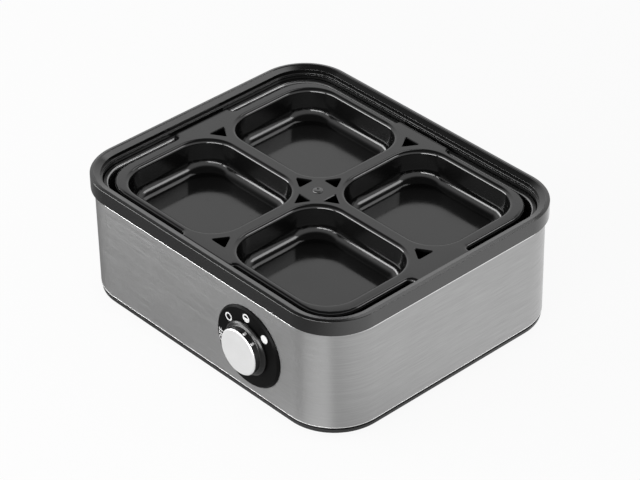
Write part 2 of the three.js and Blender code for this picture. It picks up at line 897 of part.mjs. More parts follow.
// Heater: one tube bent into a loop under the bowl, with both ends at the front
function heaterCurve() {
  const path = new THREE.CurvePath();
  const near = heaterLegX;
  function at([x, y]) {
    return new THREE.Vector3(x, y, heaterZ);
  }
  function line(from, to) {
    path.add(new THREE.LineCurve3(at(from), at(to)));
  }
  function bend(from, corner, to) {
    path.add(new THREE.QuadraticBezierCurve3(at(from), at(corner), at(to)));
  }
  const [x, y, b] = [heaterHalfX, heaterHalfY, heaterBend];
  line([-near, -heaterLegEnd], [-near, -y - near]);
  bend([-near, -y - near], [-near, -y], [-2 * near, -y]);
  line([-2 * near, -y], [b - x, -y]);
  bend([b - x, -y], [-x, -y], [-x, b - y]);
  line([-x, b - y], [-x, y - b]);
  bend([-x, y - b], [-x, y], [b - x, y]);
  line([b - x, y], [x - b, y]);
  bend([x - b, y], [x, y], [x, y - b]);
  line([x, y - b], [x, b - y]);
  bend([x, b - y], [x, -y], [x - b, -y]);
  line([x - b, -y], [2 * near, -y]);
  bend([2 * near, -y], [near, -y], [near, -y - near]);
  line([near, -y - near], [near, -heaterLegEnd]);
  return path;
}

function alongY(geometry, x, y, z) {
  geometry.rotateX(-Math.PI / 2);
  geometry.translate(x, y, z);
  return geometry;
}

function makeHeaterPin(side) {
  const pin = rod(pinRadius, -pinLength, 0, 0, 0, 10);
  return alongY(pin, side * heaterLegX, -heaterLegEnd - fit, heaterZ);
}

function makeClampBar(side) {
  const x = side * clampStudX;
  const high = barZ + barThickness;
  const bar = block(barWidth, 2 * (heaterHalfY + barOverhang), barZ, high, x);
  return cut(bar, rod(clampStudRadius + fit, barZ - overrun, high + overrun, x, 0, 12));
}

function makeShield() {
  const high = shieldZ + shieldThickness;
  const [halfX, halfY] = [heaterHalfX + shieldMarginX, heaterHalfY + shieldMarginY];
  const sheet = plate(halfX, halfY, shieldCornerRadius, shieldZ, high);
  const holes = [1, -1].map((side) =>
    rod(clampStudRadius + fit, shieldZ - overrun, high + overrun, side * clampStudX, 0, 12),
  );
  return cut(sheet, ...holes);
}

function makeLimiter() {
  const top = limiterFlangeZ + limiterFlangeThickness;
  const can = rod(limiterRadius, top - limiterHeight, top, 0, 0, 20);
  const ears = [1, -1].map((side) =>
    rod(limiterEarRadius, limiterFlangeZ, top, side * limiterStudX, 0, 12),
  );
  const bridge = block(2 * limiterStudX, 2 * limiterEarRadius, limiterFlangeZ, top);
  const tagTop = top - limiterTagDrop;
  const tagLength = limiterRadius + limiterTagReach;
  const tags = [1, -1].map((side) =>
    block(tagWidth, tagLength, tagTop - tagThickness, tagTop, side * limiterTagX, -tagLength / 2),
  );
  const holes = [1, -1].map((side) =>
    rod(limiterNutBore, limiterFlangeZ - overrun, top + overrun, side * limiterStudX, 0, 12),
  );
  return cut(join(can, bridge, ...ears, ...tags), ...holes);
}

// Strap under the limiter's nut that curls round the thermal fuse
const fuseRingRadius = fuseRadius + fit;
const clipZ = limiterFlangeZ - clipThickness;
const fuseZ = clipZ - fuseRingRadius;
const limiterNutBore = limiterStudRadius + fit;

function makeFuseClip() {
  const outer = fuseRingRadius + clipThickness;
  const ring = alongY(rod(outer, -clipWidth / 2, clipWidth / 2, 0, 0, 16), fuseX, 0, fuseZ);
  const bore = alongY(rod(fuseRingRadius, -clipWidth, clipWidth, 0, 0, 16), fuseX, 0, fuseZ);
  const strapStart = limiterStudX - limiterEarRadius;
  const strapMiddle = (strapStart + fuseX) / 2;
  const strap = block(fuseX - strapStart, clipWidth, clipZ, limiterFlangeZ, strapMiddle);
  const studHole = rod(limiterNutBore, clipZ - overrun, limiterFlangeZ + overrun, limiterStudX, 0, 12);
  return cut(join(strap, ring), bore, studHole);
}

function makeFuse() {
  return alongY(rod(fuseRadius, -fuseLength / 2, fuseLength / 2, 0, 0, 12), fuseX, 0, fuseZ);
}

// Earth tag: a ring on its stud with a tongue for the earth lead
const earthTagZ = underBowlZ - fit - tagThickness;

function makeEarthTag() {
  const high = earthTagZ + tagThickness;
  const tongueX = earthStudX - earthTongueReach / 2;
  const ring = rod(earthRingRadius, earthTagZ, high, earthStudX, earthStudY, 16);
  const tongue = block(earthTongueReach, 2 * earthTongueHalf, earthTagZ, high, tongueX, earthStudY);
  const hole = rod(limiterNutBore, earthTagZ - overrun, high + overrun, earthStudX, earthStudY, 12);
  return cut(join(ring, tongue), hole);
}

// Mains inlet: flange and socket body; heights count outwards from the sleeve's rear face
const inletFloor = inletFlangeThickness - inletCavityDepth;
const pinPlaces = [
  [livePinX, -livePinDrop],
  [-livePinX, -livePinDrop],
  [0, earthPinRise],
];

function makeInlet() {
  const face = inletFlangeThickness;
  const back = -inletBodyDepth;
  const flange = plate(inletFlangeWidth / 2, inletFlangeHeight / 2, inletFlangeRadius, 0, face);
  const body = block(inletBodyWidth, inletBodyHeight, back, face / 2);
  const [cavityWidth, cavityHeight] = [inletBodyWidth - 2 * inletWall, inletBodyHeight - 2 * inletWall];
  const cavity = block(cavityWidth, cavityHeight, inletFloor, face + overrun);
  const screwHoles = [1, -1].flatMap((side) => [
    rod(inletScrewRadius + fit, -overrun, face + overrun, (side * inletScrewPitch) / 2, 0, 12),
    countersink(fit, (side * inletScrewPitch) / 2),
  ]);
  const [slotWidth, slotHeight] = [inletPinWidth + 2 * fit, inletPinHeight + 2 * fit];
  const pinSlots = pinPlaces.map(([x, y]) =>
    block(slotWidth, slotHeight, back - overrun, inletFloor + overrun, x, y),
  );
  return cut(join(flange, body), cavity, ...screwHoles, ...pinSlots);
}

function countersink(clearance, x) {
  const depth = inletScrewHeadRadius - inletScrewRadius;
  const cone = turned(
    [
      [0, inletFlangeThickness - depth],
      [inletScrewRadius + clearance, inletFlangeThickness - depth],
      [inletScrewHeadRadius + clearance, inletFlangeThickness],
      [0, inletFlangeThickness],
    ],
    16,
  );
  cone.translate(x, 0, 0);
  return cone;
}

function makeInletScrew(side) {
  const x = (side * inletScrewPitch) / 2;
  const shank = rod(
    inletScrewRadius,
    inletFlangeThickness - inletScrewLength,
    inletFlangeThickness - inletScrewHeadRadius + inletScrewRadius + fit,
    x,
    0,
    16,
  );
  return join(shank, countersink(0, x));
}

function makeInletNut(side) {
  return hexNut(
    smallNutFlats,
    inletScrewRadius + fit,
    -sleeveWall - smallNutHeight,
    -sleeveWall,
    (side * inletScrewPitch) / 2,
  );
}

function makeInletPin([x, y]) {
  const tail = -inletBodyDepth - inletPinTail;
  return block(inletPinWidth, inletPinHeight, tail, inletFloor + inletPinReach, x, y);
}

// Leads run along hand-set routes between the ends of the tags and pins that they serve
function lead(points) {
  const curve = new THREE.CatmullRomCurve3(
    points.map(([x, y, z]) => new THREE.Vector3(x, y, z)),
    false,
    "centripetal",
  );
  return tube(curve, leadRadius, leadSides, leadSteps);
}

function atHeight(shares, z) {
  return shares.map(([x, y]) => [x * postX, y * postY, z]);
}

const inletTailY = sleeveFaceY - inletBodyDepth - inletPinTail - fit;
const controlTagY = -sleeveFaceY + sleeveWall + fit + controlTagSetback - tagThickness / 2;
const controlTagZ = dialZ - controlFootDrop - controlTagLength - fit;
const limiterTagY = -limiterRadius - limiterTagReach - fit;
const limiterTagZ = limiterFlangeZ + limiterFlangeThickness - limiterTagDrop - tagThickness / 2;
const heaterPinY = -heaterLegEnd - pinLength - 2 * fit;
const passZ = shieldZ + shieldThickness + leadPassClearance + leadRadius;
const floorLaneZ = panFloorZ + 2 * leadRadius;
const turnRoom = 3 * leadRadius;
const straight = 2 * leadRadius;

function makeLiveLead() {
  const startX = inletX - livePinX;
  const endX = dialX - controlTagPitch / 2;
  const startZ = inletZ - livePinDrop;
  return lead([
    [startX, inletTailY, startZ],
    [startX, inletTailY - straight, startZ],
    [startX, heaterHalfY, leadDropZ],
    ...atHeight(liveFloorShares, floorLaneZ),
    [endX - 2 * turnRoom, controlTagY, floorLaneZ],
    [endX - turnRoom / 2, controlTagY, floorLaneZ + leadRadius / 2],
    [endX, controlTagY, controlTagZ - straight / 2],
    [endX, controlTagY, controlTagZ],
  ]);
}

function makeSwitchedLead() {
  const startX = dialX + controlTagPitch / 2;
  return lead([
    [startX, controlTagY, controlTagZ],
    [startX, controlTagY, controlTagZ - straight / 2],
    [startX - turnRoom / 2, controlTagY + turnRoom, floorLaneZ + leadRadius / 2],
    ...atHeight(switchedLowShares, leadDropZ),
    ...atHeight(switchedMiddleShares, (leadDropZ + passZ) / 2),
    ...atHeight(switchedHighShares, passZ),
    [limiterTagX, -heaterHalfY, passZ],
    [limiterTagX, limiterTagY - straight, limiterTagZ],
    [limiterTagX, limiterTagY, limiterTagZ],
  ]);
}

function makeHeaterLead() {
  return lead([
    [-limiterTagX, limiterTagY, limiterTagZ],
    [-limiterTagX, limiterTagY - straight, limiterTagZ],
    [-limiterTagX, -heaterHalfY, passZ],
    ...atHeight(heaterLeadShares, passZ),
    [-heaterLegX, heaterPinY - 2 * turnRoom, passZ + leadRadius],
    [-heaterLegX, heaterPinY - 2 * turnRoom, heaterZ - leadRadius],
    [-heaterLegX, heaterPinY - straight, heaterZ],
    [-heaterLegX, heaterPinY, heaterZ],
  ]);
}

function makeNeutralLead() {
  const startX = inletX + livePinX;
  const startZ = inletZ - livePinDrop;
  return lead([
    [startX, inletTailY, startZ],
    [startX, inletTailY - straight, startZ],
    ...atHeight(neutralPassShares, passZ),
    [fuseX - leadRadius, fuseLength / 2 + 2 * turnRoom, fuseZ - leadRadius],
    [fuseX, fuseLength / 2 + fit + straight, fuseZ],
    [fuseX, fuseLength / 2 + fit, fuseZ],
  ]);
}

function makeFuseLead() {
  return lead([
    [fuseX, -fuseLength / 2 - fit, fuseZ],
    [fuseX, -fuseLength / 2 - fit - straight, fuseZ],
    [fuseX - leadRadius, -fuseLength - straight, passZ + leadRadius],
    ...atHeight(fusePassShares, passZ),
    [heaterLegX, heaterPinY - 2 * turnRoom, passZ + leadRadius],
    [heaterLegX, heaterPinY - 2 * turnRoom, heaterZ - leadRadius],
    [heaterLegX, heaterPinY - straight, heaterZ],
    [heaterLegX, heaterPinY, heaterZ],
  ]);
}

function makeEarthLead() {
  const startZ = inletZ + earthPinRise;
  const endX = earthStudX - earthTongueReach - fit;
  const endZ = earthTagZ - leadRadius / 2;
  return lead([
    [inletX, inletTailY, startZ],
    [inletX, inletTailY - straight, startZ],
    [inletX + turnRoom, earthStudY + leadRadius, startZ + leadRadius],
    [endX - 2 * turnRoom, earthStudY, endZ - leadRadius],
    [endX - straight, earthStudY, endZ],
    [endX, earthStudY, endZ],
  ]);
}

// Assembly
place("top_rim", makeTopRim(), blackPlastic);
place("steel_sleeve", makeSleeve(), brushedSteel);
place("base_pan", makeBasePan(), blackPlastic);
place("heating_bowl", makeBowl(), coatedBowl);
place("bowl_seal", makeSeal(), silicone);
place("cooking_tray", makeTray(), glossBlack);
place("tray_rivet", makeRivet(), zincSteel);

const cornerNames = ["back_right", "back_left", "front_left", "front_right"];
fourCorners(footX, footY).forEach(([x, y], i) =>
  place(`foot_${cornerNames[i]}`, makeFoot(x, y), footRubber),
);
fourCorners(postX, postY).forEach(([x, y], i) =>
  place(`tie_screw_${cornerNames[i]}`, makeTieScrew(x, y), zincSteel),
);

place("dial_plate", makeDialPlate(), glossBlack, dialGroup);
place("rotary_control", makeControlBody(), phenolic, dialGroup);
place("control_shaft", makeControlShaft(), zincSteel, dialGroup);
place("control_washer", makeControlWasher(), zincSteel, dialGroup);
place("control_nut", makeControlNut(), zincSteel, dialGroup);
place("knob_body", makeKnobBody(), blackPlastic, dialGroup);
place("knob_cap", makeKnobCap(), silverCap, dialGroup);
place("control_tag_in", makeControlTag(-1), brass, dialGroup);
place("control_tag_out", makeControlTag(1), brass, dialGroup);

place("heater_tube", tube(heaterCurve(), heaterRadius, heaterSides, heaterSteps), heaterSheath);
for (const [side, word] of [
  [-1, "left"],
  [1, "right"],
]) {
  const studX = side * clampStudX;
  place(`heater_pin_${word}`, makeHeaterPin(side), zincSteel);
  place(`clamp_bar_${word}`, makeClampBar(side), zincSteel);
  place(
    `clamp_nut_${word}`,
    hexNut(clampNutFlats, clampStudRadius + fit, clampNutZ, barZ, studX),
    zincSteel,
  );
  place(
    `shield_nut_${word}`,
    hexNut(clampNutFlats, clampStudRadius + fit, shieldZ - clampNutHeight, shieldZ, studX),
    zincSteel,
  );
  place(`inlet_screw_${word}`, makeInletScrew(-side), zincSteel, inletGroup);
  place(`inlet_nut_${word}`, makeInletNut(-side), zincSteel, inletGroup);
}
place("heat_shield", makeShield(), zincSteel);
place("limiter", makeLimiter(), phenolic);

place(
  "limiter_nut_left",
  hexNut(smallNutFlats, limiterNutBore, limiterFlangeZ - smallNutHeight, limiterFlangeZ, -limiterStudX),
  zincSteel,
);
place(
  "limiter_nut_right",
  hexNut(smallNutFlats, limiterNutBore, clipZ - smallNutHeight, clipZ, limiterStudX),
  zincSteel,
);
place("fuse_clip", makeFuseClip(), zincSteel);
place("thermal_fuse", makeFuse(), ceramicWhite);
place("earth_tag", makeEarthTag(), brass);
place(
  "earth_nut",
  hexNut(smallNutFlats, limiterNutBore, earthTagZ - smallNutHeight, earthTagZ, earthStudX, earthStudY),
  zincSteel,
);

place("mains_inlet", makeInlet(), glossBlack, inletGroup);
["live", "neutral", "earth"].forEach((word, i) =>
  place(`inlet_pin_${word}`, makeInletPin(pinPlaces[i]), brass, inletGroup),
);

place("lead_live", makeLiveLead(), leadBrown);
place("lead_switched", makeSwitchedLead(), leadRed);
place("lead_heater", makeHeaterLead(), leadRed);
place("lead_neutral", makeNeutralLead(), leadBlue);
place("lead_fuse", makeFuseLead(), leadBlue);
place("lead_earth", makeEarthLead(), leadGreen);

export default boiler;
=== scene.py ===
import math
from collections import namedtuple

import bmesh
import bpy
from mathutils import Matrix, Vector


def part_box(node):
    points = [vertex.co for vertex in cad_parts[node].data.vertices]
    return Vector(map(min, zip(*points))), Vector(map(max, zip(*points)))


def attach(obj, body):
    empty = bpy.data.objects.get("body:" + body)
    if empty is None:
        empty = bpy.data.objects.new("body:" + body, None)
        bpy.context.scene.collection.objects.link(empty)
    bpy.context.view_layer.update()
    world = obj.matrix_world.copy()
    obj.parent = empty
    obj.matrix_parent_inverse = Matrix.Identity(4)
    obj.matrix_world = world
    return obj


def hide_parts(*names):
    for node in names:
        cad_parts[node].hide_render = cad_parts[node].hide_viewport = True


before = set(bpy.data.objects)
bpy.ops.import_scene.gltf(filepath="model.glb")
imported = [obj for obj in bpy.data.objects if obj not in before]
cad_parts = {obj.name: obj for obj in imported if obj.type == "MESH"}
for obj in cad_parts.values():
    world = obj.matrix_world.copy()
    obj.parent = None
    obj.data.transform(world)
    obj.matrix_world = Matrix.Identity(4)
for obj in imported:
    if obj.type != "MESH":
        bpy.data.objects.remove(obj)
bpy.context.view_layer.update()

# Sizes are in millimetres and are scaled to metres when a mesh is finished
MM = 0.001
MERGE = 0.002
SMOOTH_ANGLE = math.radians(38)
QUARTER = math.pi / 2
CORNER_STEPS = 20

# The four corners seen from above, anticlockwise from the back right one
QUADRANTS = [(1, 1), (-1, 1), (-1, -1), (1, -1)]
CORNERS = ("back_right", "back_left", "front_left", "front_right")

# Rounding of edges, from crisp to soft, and the clearance between pieces
FINE_ROUND = 0.2
EDGE_ROUND = 0.3
SOFT_ROUND = 0.4
FIT = 0.3

Outline = namedtuple("Outline", "half_x half_y radius")


def span(node):
    """Lowest and highest corner of a CAD node, in millimetres."""
    low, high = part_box(node)
    return low / MM, high / MM


def outline_of(low, high, radius):
    return Outline((high.x - low.x) / 2, (high.y - low.y) / 2, radius)


def grown(outline, by):
    return Outline(outline.half_x + by, outline.half_y + by, outline.radius + by)


# Places read from the frame
rim_low, rim_high = span("top_rim")
sleeve_low, sleeve_high = span("steel_sleeve")
base_low, base_high = span("base_pan")
dial_low, dial_high = span("dial_plate")
knob_low, knob_high = span("knob_body")
cap_low, cap_high = span("knob_cap")
inlet_low, inlet_high = span("mains_inlet")
tray_low = span("cooking_tray")[0]
rivet_low = span("tray_rivet")[0]
bowl_high = span("heating_bowl")[1]
middle = (rim_low + rim_high) / 2
dial_middle = (dial_low + dial_high) / 2
inlet_middle = (inlet_low + inlet_high) / 2

# Housing sizes, counted inwards from the rim's outer face and down from its crown
RIM = outline_of(rim_low, rim_high, 28.6)
SLEEVE = outline_of(sleeve_low, sleeve_high, 29.5)
SLEEVE_WALL = 0.8
RIM_BAND = 9.0
LIP_WIDTH = 5.4
LID_STEP = 1.0
LIP_INNER = LIP_WIDTH + LID_STEP
lip_z = rim_high.z
rim_z = lip_z - RIM_BAND
flange_z = bowl_high.z

# Base and bowl sizes; the posts and the feet count from the housing's middle
PAN_FLOOR = 2.0
POST = (RIM.half_x - 36, RIM.half_y - 34)
FOOT = (RIM.half_x - 24, RIM.half_y - 24)
FOOT_NECK = 2.8
SCREW_HEAD = 2.2
SCREW_SINK = 0.8
SCREW_SEAT = base_low.z + SCREW_SINK + SCREW_HEAD + FIT
BOWL_WALL = 1.2
BOWL_DEPTH = 28.8

# Studs under the bowl: place, radius and length
CLAMP_STUD = (2, 16.9)
SMALL_STUD = (1.5, 5.8)
BOWL_STUDS = [
    (38, 0, *CLAMP_STUD),
    (-38, 0, *CLAMP_STUD),
    (12, 0, *SMALL_STUD),
    (-12, 0, *SMALL_STUD),
    (-12, RIM.half_y - 32, *SMALL_STUD),
]

# Tray sizes, counted from the rim's lip and from the tray's top
GUTTER = (7.0, 5.2)
BORDER = (7.4, 4.8)
RIB = 9.0
TRAY_WALL = 1.5
TRAY_EDGE_ROUND = 1.7
TRAY_RIM = 2.4
TAB_HALF = 19.0
TAB_GAP = 1.0
TAB_TIP_ROUND = 2.0
TAB_TIP_SHARE = 0.9
TAB_ROOT_ROUND = 2.4
WELL_DEPTH = 17.0
WELL_DRAFT = 1.0
WELL_FLAT = 14.0
WELL_FLOOR_ROUND = 7.0
MOUTH_ROUND = 2.2
TRAY = Outline(RIM.half_x - LIP_WIDTH - GUTTER[0], RIM.half_y - LIP_WIDTH - GUTTER[1], 20.0)
WELL = Outline((TRAY.half_x - BORDER[0] - RIB / 2) / 2, (TRAY.half_y - BORDER[1] - RIB / 2) / 2, 18.0)
WELL_PLACE = (RIB / 2 + WELL.half_x, RIB / 2 + WELL.half_y)
tray_z = tray_low.z + WELL_DEPTH + TRAY_WALL

# Triangular holes: how far out each begins and ends, and half its width
HUB_HOLE = (8.8, 16.4, 4.4)
SIDE_HOLE_START = 1.0
SIDE_HOLE_END = 9.0
SIDE_HOLE_HALF = 5.0
HOLE_SLOPE = 0.35
HOLE_DIP = 0.3
HOLE_CORNER = 0.9

# Inlet sizes, counted outwards from the sleeve's rear face
INLET_FACE = 2.2
INLET_BACK = INLET_FACE - (inlet_high.y - inlet_low.y)
SOCKET = Outline(13.6, 9.8, 1.2)
SOCKET_WALL = 1.6
SOCKET_FLOOR = INLET_FACE - 13
SOCKET_CHAMFER = 4.2
PIN_ROUND = 0.3
INLET_SCREW_X = 20
INLET_SCREW_BORE = 1.8

# Dial sizes; heights count outwards from the sleeve's face, and degrees clockwise from the top
BUSH_HOLE = 4.8
MARK_PLACE = 17.8
MARK_RADIUS = 2.4
MARK_HOLLOW = 1.65
MARK_HEIGHT = 0.06
MARK_STEP = 48
WORD_PLACE = 19.4
WORD_ANGLE = -97
WORD_SIZE = 4.6
KNOB_AIM = 30.5
GRIP_RADIUS = 12.5
dial_thick = dial_high.y - dial_low.y
knob_foot = dial_high.y - knob_high.y
knob_top = dial_high.y - knob_low.y


# Mesh tools
def new_object(name, data):
    """An object for a mesh, a lamp or the camera, put into the scene."""
    item = bpy.data.objects.new(name, data)
    bpy.context.scene.collection.objects.link(item)
    return item


def finish_mesh(name, bm, material, body, replaces=(), place=None, angle=SMOOTH_ANGLE):
    """Turns a bmesh in millimetres into a finished piece in metres that rides on a body."""
    bmesh.ops.remove_doubles(bm, verts=bm.verts, dist=MERGE)
    bmesh.ops.recalc_face_normals(bm, faces=bm.faces)
    if place is not None:
        bmesh.ops.transform(bm, matrix=place, verts=bm.verts)
    bmesh.ops.scale(bm, vec=(MM, MM, MM), verts=bm.verts)
    mesh = bpy.data.meshes.new(name)
    bm.to_mesh(mesh)
    bm.free()
    mesh.shade_smooth()
    mesh.set_sharp_from_angle(angle=angle)
    piece = new_object(name, mesh)
    mesh.materials.append(material)
    normals = piece.modifiers.new("even shading", "WEIGHTED_NORMAL")
    normals.keep_sharp = True
    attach(piece, body)
    if replaces:
        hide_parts(*replaces)
    return piece


def edges_of(geometry):
    return [item for item in geometry if isinstance(item, bmesh.types.BMEdge)]


def verts_of(geometry):
    return [item for item in geometry if isinstance(item, bmesh.types.BMVert)]


def section(bm, points, closed):
    """A section drawn as edges. A point is (out, height) or (out, height, round)."""
    verts = [bm.verts.new((point[0], 0, point[1])) for point in points]
    pairs = list(zip(verts, verts[1:]))
    if closed:
        pairs.append((verts[-1], verts[0]))
    for pair in pairs:
        bm.edges.new(pair)
    for vert, point in zip(verts, points):
        if len(point) > 2:
            round_corner(bm, vert, point[2])


def round_corner(bm, vert, radius):
    """Rounds one corner of a section or an outline with an arc of that radius."""
    first, second = [(edge.other_vert(vert).co - vert.co).normalized() for edge in vert.link_edges]
    turn = math.pi - first.angle(second)
    bmesh.ops.bevel(
        bm,
        geom=[vert],
        offset=radius * math.tan(turn / 2),
        offset_type="OFFSET",
        segments=max(2, round(turn / math.radians(15))),
        profile=0.5,
        affect="VERTICES",
        material=-1,
    )


def sweep(points, outline, closed=True, steps=CORNER_STEPS):
    """Sweeps a section of (inset, height, round) points round a rounded rectangle."""
    bm = bmesh.new()
    section(bm, points, closed)
    centre_x = outline.half_x - outline.radius
    centre_y = outline.half_y - outline.radius
    turn_over = Matrix.Diagonal((-1, 1, 1, 1))
    to_start = Matrix.Translation((outline.half_x, centre_y, 0))
    bmesh.ops.transform(bm, matrix=to_start @ turn_over, verts=bm.verts)
    geometry = bm.verts[:] + bm.edges[:]
    runs = [(-2 * centre_x, 0), (0, -2 * centre_y), (2 * centre_x, 0), (0, 2 * centre_y)]
    for (sign_x, sign_y), run in zip(QUADRANTS, runs):
        spun = bmesh.ops.spin(
            bm,
            geom=geometry,
            cent=(sign_x * centre_x, sign_y * centre_y, 0),
            axis=(0, 0, 1),
            angle=QUARTER,
            steps=steps,
        )
        moved = bmesh.ops.extrude_edge_only(bm, edges=edges_of(spun["geom_last"]))["geom"]
        verts = set(verts_of(moved))
        bmesh.ops.translate(bm, verts=list(verts), vec=(*run, 0))
        edges = [edge for edge in edges_of(moved) if set(edge.verts) <= verts]
        geometry = list(verts) + edges
    bmesh.ops.remove_doubles(bm, verts=bm.verts, dist=MERGE)
    return bm


def ring_lathe(points, steps, closed=True):
    """Turns a section of (radius, height, round) points about Z."""
    bm = bmesh.new()
    section(bm, points, closed)
    geometry = bm.verts[:] + bm.edges[:]
    bmesh.ops.spin(
        bm, geom=geometry, cent=(0, 0, 0), axis=(0, 0, 1), angle=4 * QUARTER, steps=steps, use_merge=True
    )
    return bm


def lathe(points, steps):
    """Turns a section whose two ends lie on the axis about Z, and closes its poles."""
    bm = ring_lathe(points, steps, closed=False)
    bmesh.ops.remove_doubles(bm, verts=bm.verts, dist=MERGE)
    bmesh.ops.dissolve_degenerate(bm, edges=bm.edges, dist=MERGE)
    return bm


def bore(radius, start, end, steps=40):
    """The wall of a plain round hole."""
    return ring_lathe([(radius, start), (radius, end)], steps, closed=False)


def fill_holes(bm):
    """Closes each open loop with one face."""
    boundary = [edge for edge in bm.edges if len(edge.link_faces) == 1]
    bmesh.ops.holes_fill(bm, edges=boundary, sides=0)


def lies_at(item, height, axis=2):
    """Whether all corners of an edge or a face lie at one height."""
    return all(abs(vert.co[axis] - height) < MERGE for vert in item.verts)


def fill_level(bm, height, axis=2):
    """Fills the flat between all open loops at one height, and leaves the holes in it open."""
    bmesh.ops.remove_doubles(bm, verts=bm.verts, dist=MERGE)
    loops = [edge for edge in bm.edges if len(edge.link_faces) < 2 and lies_at(edge, height, axis)]
    normal = [0, 0, 0]
    normal[axis] = 1
    bmesh.ops.triangle_fill(bm, use_beauty=True, edges=loops, normal=normal)


def remove_flat(bm, height, axis=2):
    """Takes away the faces that lie at one height."""
    flats = [face for face in bm.faces if lies_at(face, height, axis)]
    bmesh.ops.delete(bm, geom=flats, context="FACES_ONLY")


def open_ends(bm):
    """Takes the flat ends off an upright block, so that its wall can line a hole."""
    flats = [face for face in bm.faces if abs(face.normal.z) > 0.99 and len(face.verts) > 5]
    bmesh.ops.delete(bm, geom=flats, context="FACES_ONLY")
    return bm


def join_into(bm, other, place=None):
    """Adds another bmesh, moved to its place."""
    if place is not None:
        bmesh.ops.transform(other, matrix=place, verts=other.verts)
    scratch = bpy.data.meshes.new("scratch")
    other.to_mesh(scratch)
    other.free()
    bm.from_mesh(scratch)
    bpy.data.meshes.remove(scratch)


def flat_face(bm, corners, height):
    """A flat outline of (x, y) or (x, y, round) corners, as one face."""
    verts = [bm.verts.new((corner[0], corner[1], height)) for corner in corners]
    bm.faces.new(verts)
    for vert, corner in zip(verts, corners):
        if len(corner) > 2:
            round_corner(bm, vert, corner[2])
    return max(bm.faces, key=lambda item: len(item.verts) if abs(item.normal.z) > 0.5 else 0)


def prism(corners, low, high, edge_round=0.0, segments=3):
    """An upright block of a flat outline, with its upper edge rounded."""
    bm = bmesh.new()
    flat_face(bm, corners, low)
    moved = bmesh.ops.extrude_face_region(bm, geom=bm.faces[:])["geom"]
    bmesh.ops.translate(bm, verts=verts_of(moved), vec=(0, 0, high - low))
    bmesh.ops.recalc_face_normals(bm, faces=bm.faces)
    if edge_round:
        upper = [edge for edge in bm.edges if lies_at(edge, high)]
        bmesh.ops.bevel(
            bm, geom=upper, offset=edge_round, segments=segments, profile=0.5, affect="EDGES", material=-1
        )
    return bm


def rectangle(half_x, half_y, radius):
    return [(x * half_x, y * half_y, radius) for x, y in QUADRANTS]


def four_places(half_x, half_y):
    return [Matrix.Translation((x * half_x, y * half_y, 0)) for x, y in QUADRANTS]


# Where groups of pieces are placed; the dial's and the inlet's are drawn lying flat
FRONT = Matrix.Rotation(QUARTER, 4, "X")
REAR = Matrix.Rotation(math.pi, 4, "Z") @ FRONT
HOUSING_PLACE = Matrix.Translation((middle.x, middle.y, 0))
DIAL_PLACE = Matrix.Translation((dial_middle.x, dial_high.y, dial_middle.z)) @ FRONT
INLET_PLACE = Matrix.Translation((inlet_middle.x, inlet_high.y - INLET_FACE, inlet_middle.z)) @ REAR


# Node tools
def feed(tree, socket, value):
    """Links a value that comes from a node, or sets one that doesn't."""
    if isinstance(value, bpy.types.NodeSocket):
        tree.links.new(value, socket)
    else:
        socket.default_value = value


def add(tree, kind, **settings):
    """Adds a node; a setting is a property of the node or the name of an input."""
    node = tree.nodes.new(kind)
    for key, value in settings.items():
        if hasattr(node, key):
            setattr(node, key, value)
        else:
            feed(tree, node.inputs[key.replace("_", " ")], value)
    return node


def maths(tree, operation, first, second=0):
    node = add(tree, "ShaderNodeMath", operation=operation)
    feed(tree, node.inputs[0], first)
    feed(tree, node.inputs[1], second)
    return node.outputs[0]


def between(tree, factor, low, high):
    """A value that runs from low to high with a factor of 0 to 1."""
    return add(tree, "ShaderNodeMapRange", Value=factor, To_Min=low, To_Max=high).outputs["Result"]


def spread(tree, noise):
    """Flattens a noise a little, so that it stays clear of both ends."""
    return between(tree, noise, -0.6, 1.6)


def eased(tree, value, start, end, low, high):
    """A value that eases from low to high while another runs from start to end."""
    limits = {"From_Min": start, "From_Max": end, "To_Min": low, "To_Max": high}
    node = add(tree, "ShaderNodeMapRange", interpolation_type="SMOOTHSTEP", Value=value, **limits)
    return node.outputs["Result"]


def mixed(tree, factor, first, second):
    """A value that runs from the first to the second with a factor of 0 to 1."""
    return add(tree, "ShaderNodeMix", Factor=factor, A=first, B=second).outputs["Result"]


def mixed_colour(tree, factor, first, second):
    node = add(tree, "ShaderNodeMix", data_type="RGBA", Factor=factor, A=first, B=second)
    return node.outputs["Result"]


def tones(tree, factor, dark, light):
    """A colour that runs from dark to light with a factor of 0 to 1."""
    return mixed_colour(tree, factor, (*dark, 1), (*light, 1))


def axes(tree, kind="Object"):
    """X, Y and Z of the object's own coordinates, or of another kind."""
    place = tree.nodes.new("ShaderNodeTexCoord")
    return add(tree, "ShaderNodeSeparateXYZ", Vector=place.outputs[kind]).outputs


def new_group(name, inputs, outputs):
    """An empty node group with named inputs, each with its value, and named outputs."""
    tree = bpy.data.node_groups.new(name, "ShaderNodeTree")
    for key, value in inputs.items():
        socket = tree.interface.new_socket(name=key, in_out="INPUT", socket_type="NodeSocketFloat")
        socket.default_value = value
    for key in outputs:
        tree.interface.new_socket(name=key, in_out="OUTPUT", socket_type="NodeSocketFloat")
    return tree, tree.nodes.new("NodeGroupInput"), tree.nodes.new("NodeGroupOutput")


def stretched_noise(tree, scale, detail, factors=(1, 1, 1)):
    """Noise on object coordinates, with its own scale along each axis."""
    place = tree.nodes.new("ShaderNodeTexCoord")
    mapping = add(tree, "ShaderNodeMapping", Vector=place.outputs["Object"], Scale=factors)
    noise = add(tree, "ShaderNodeTexNoise", Vector=mapping.outputs["Vector"], Scale=scale, Detail=detail)
    return noise.outputs[0]


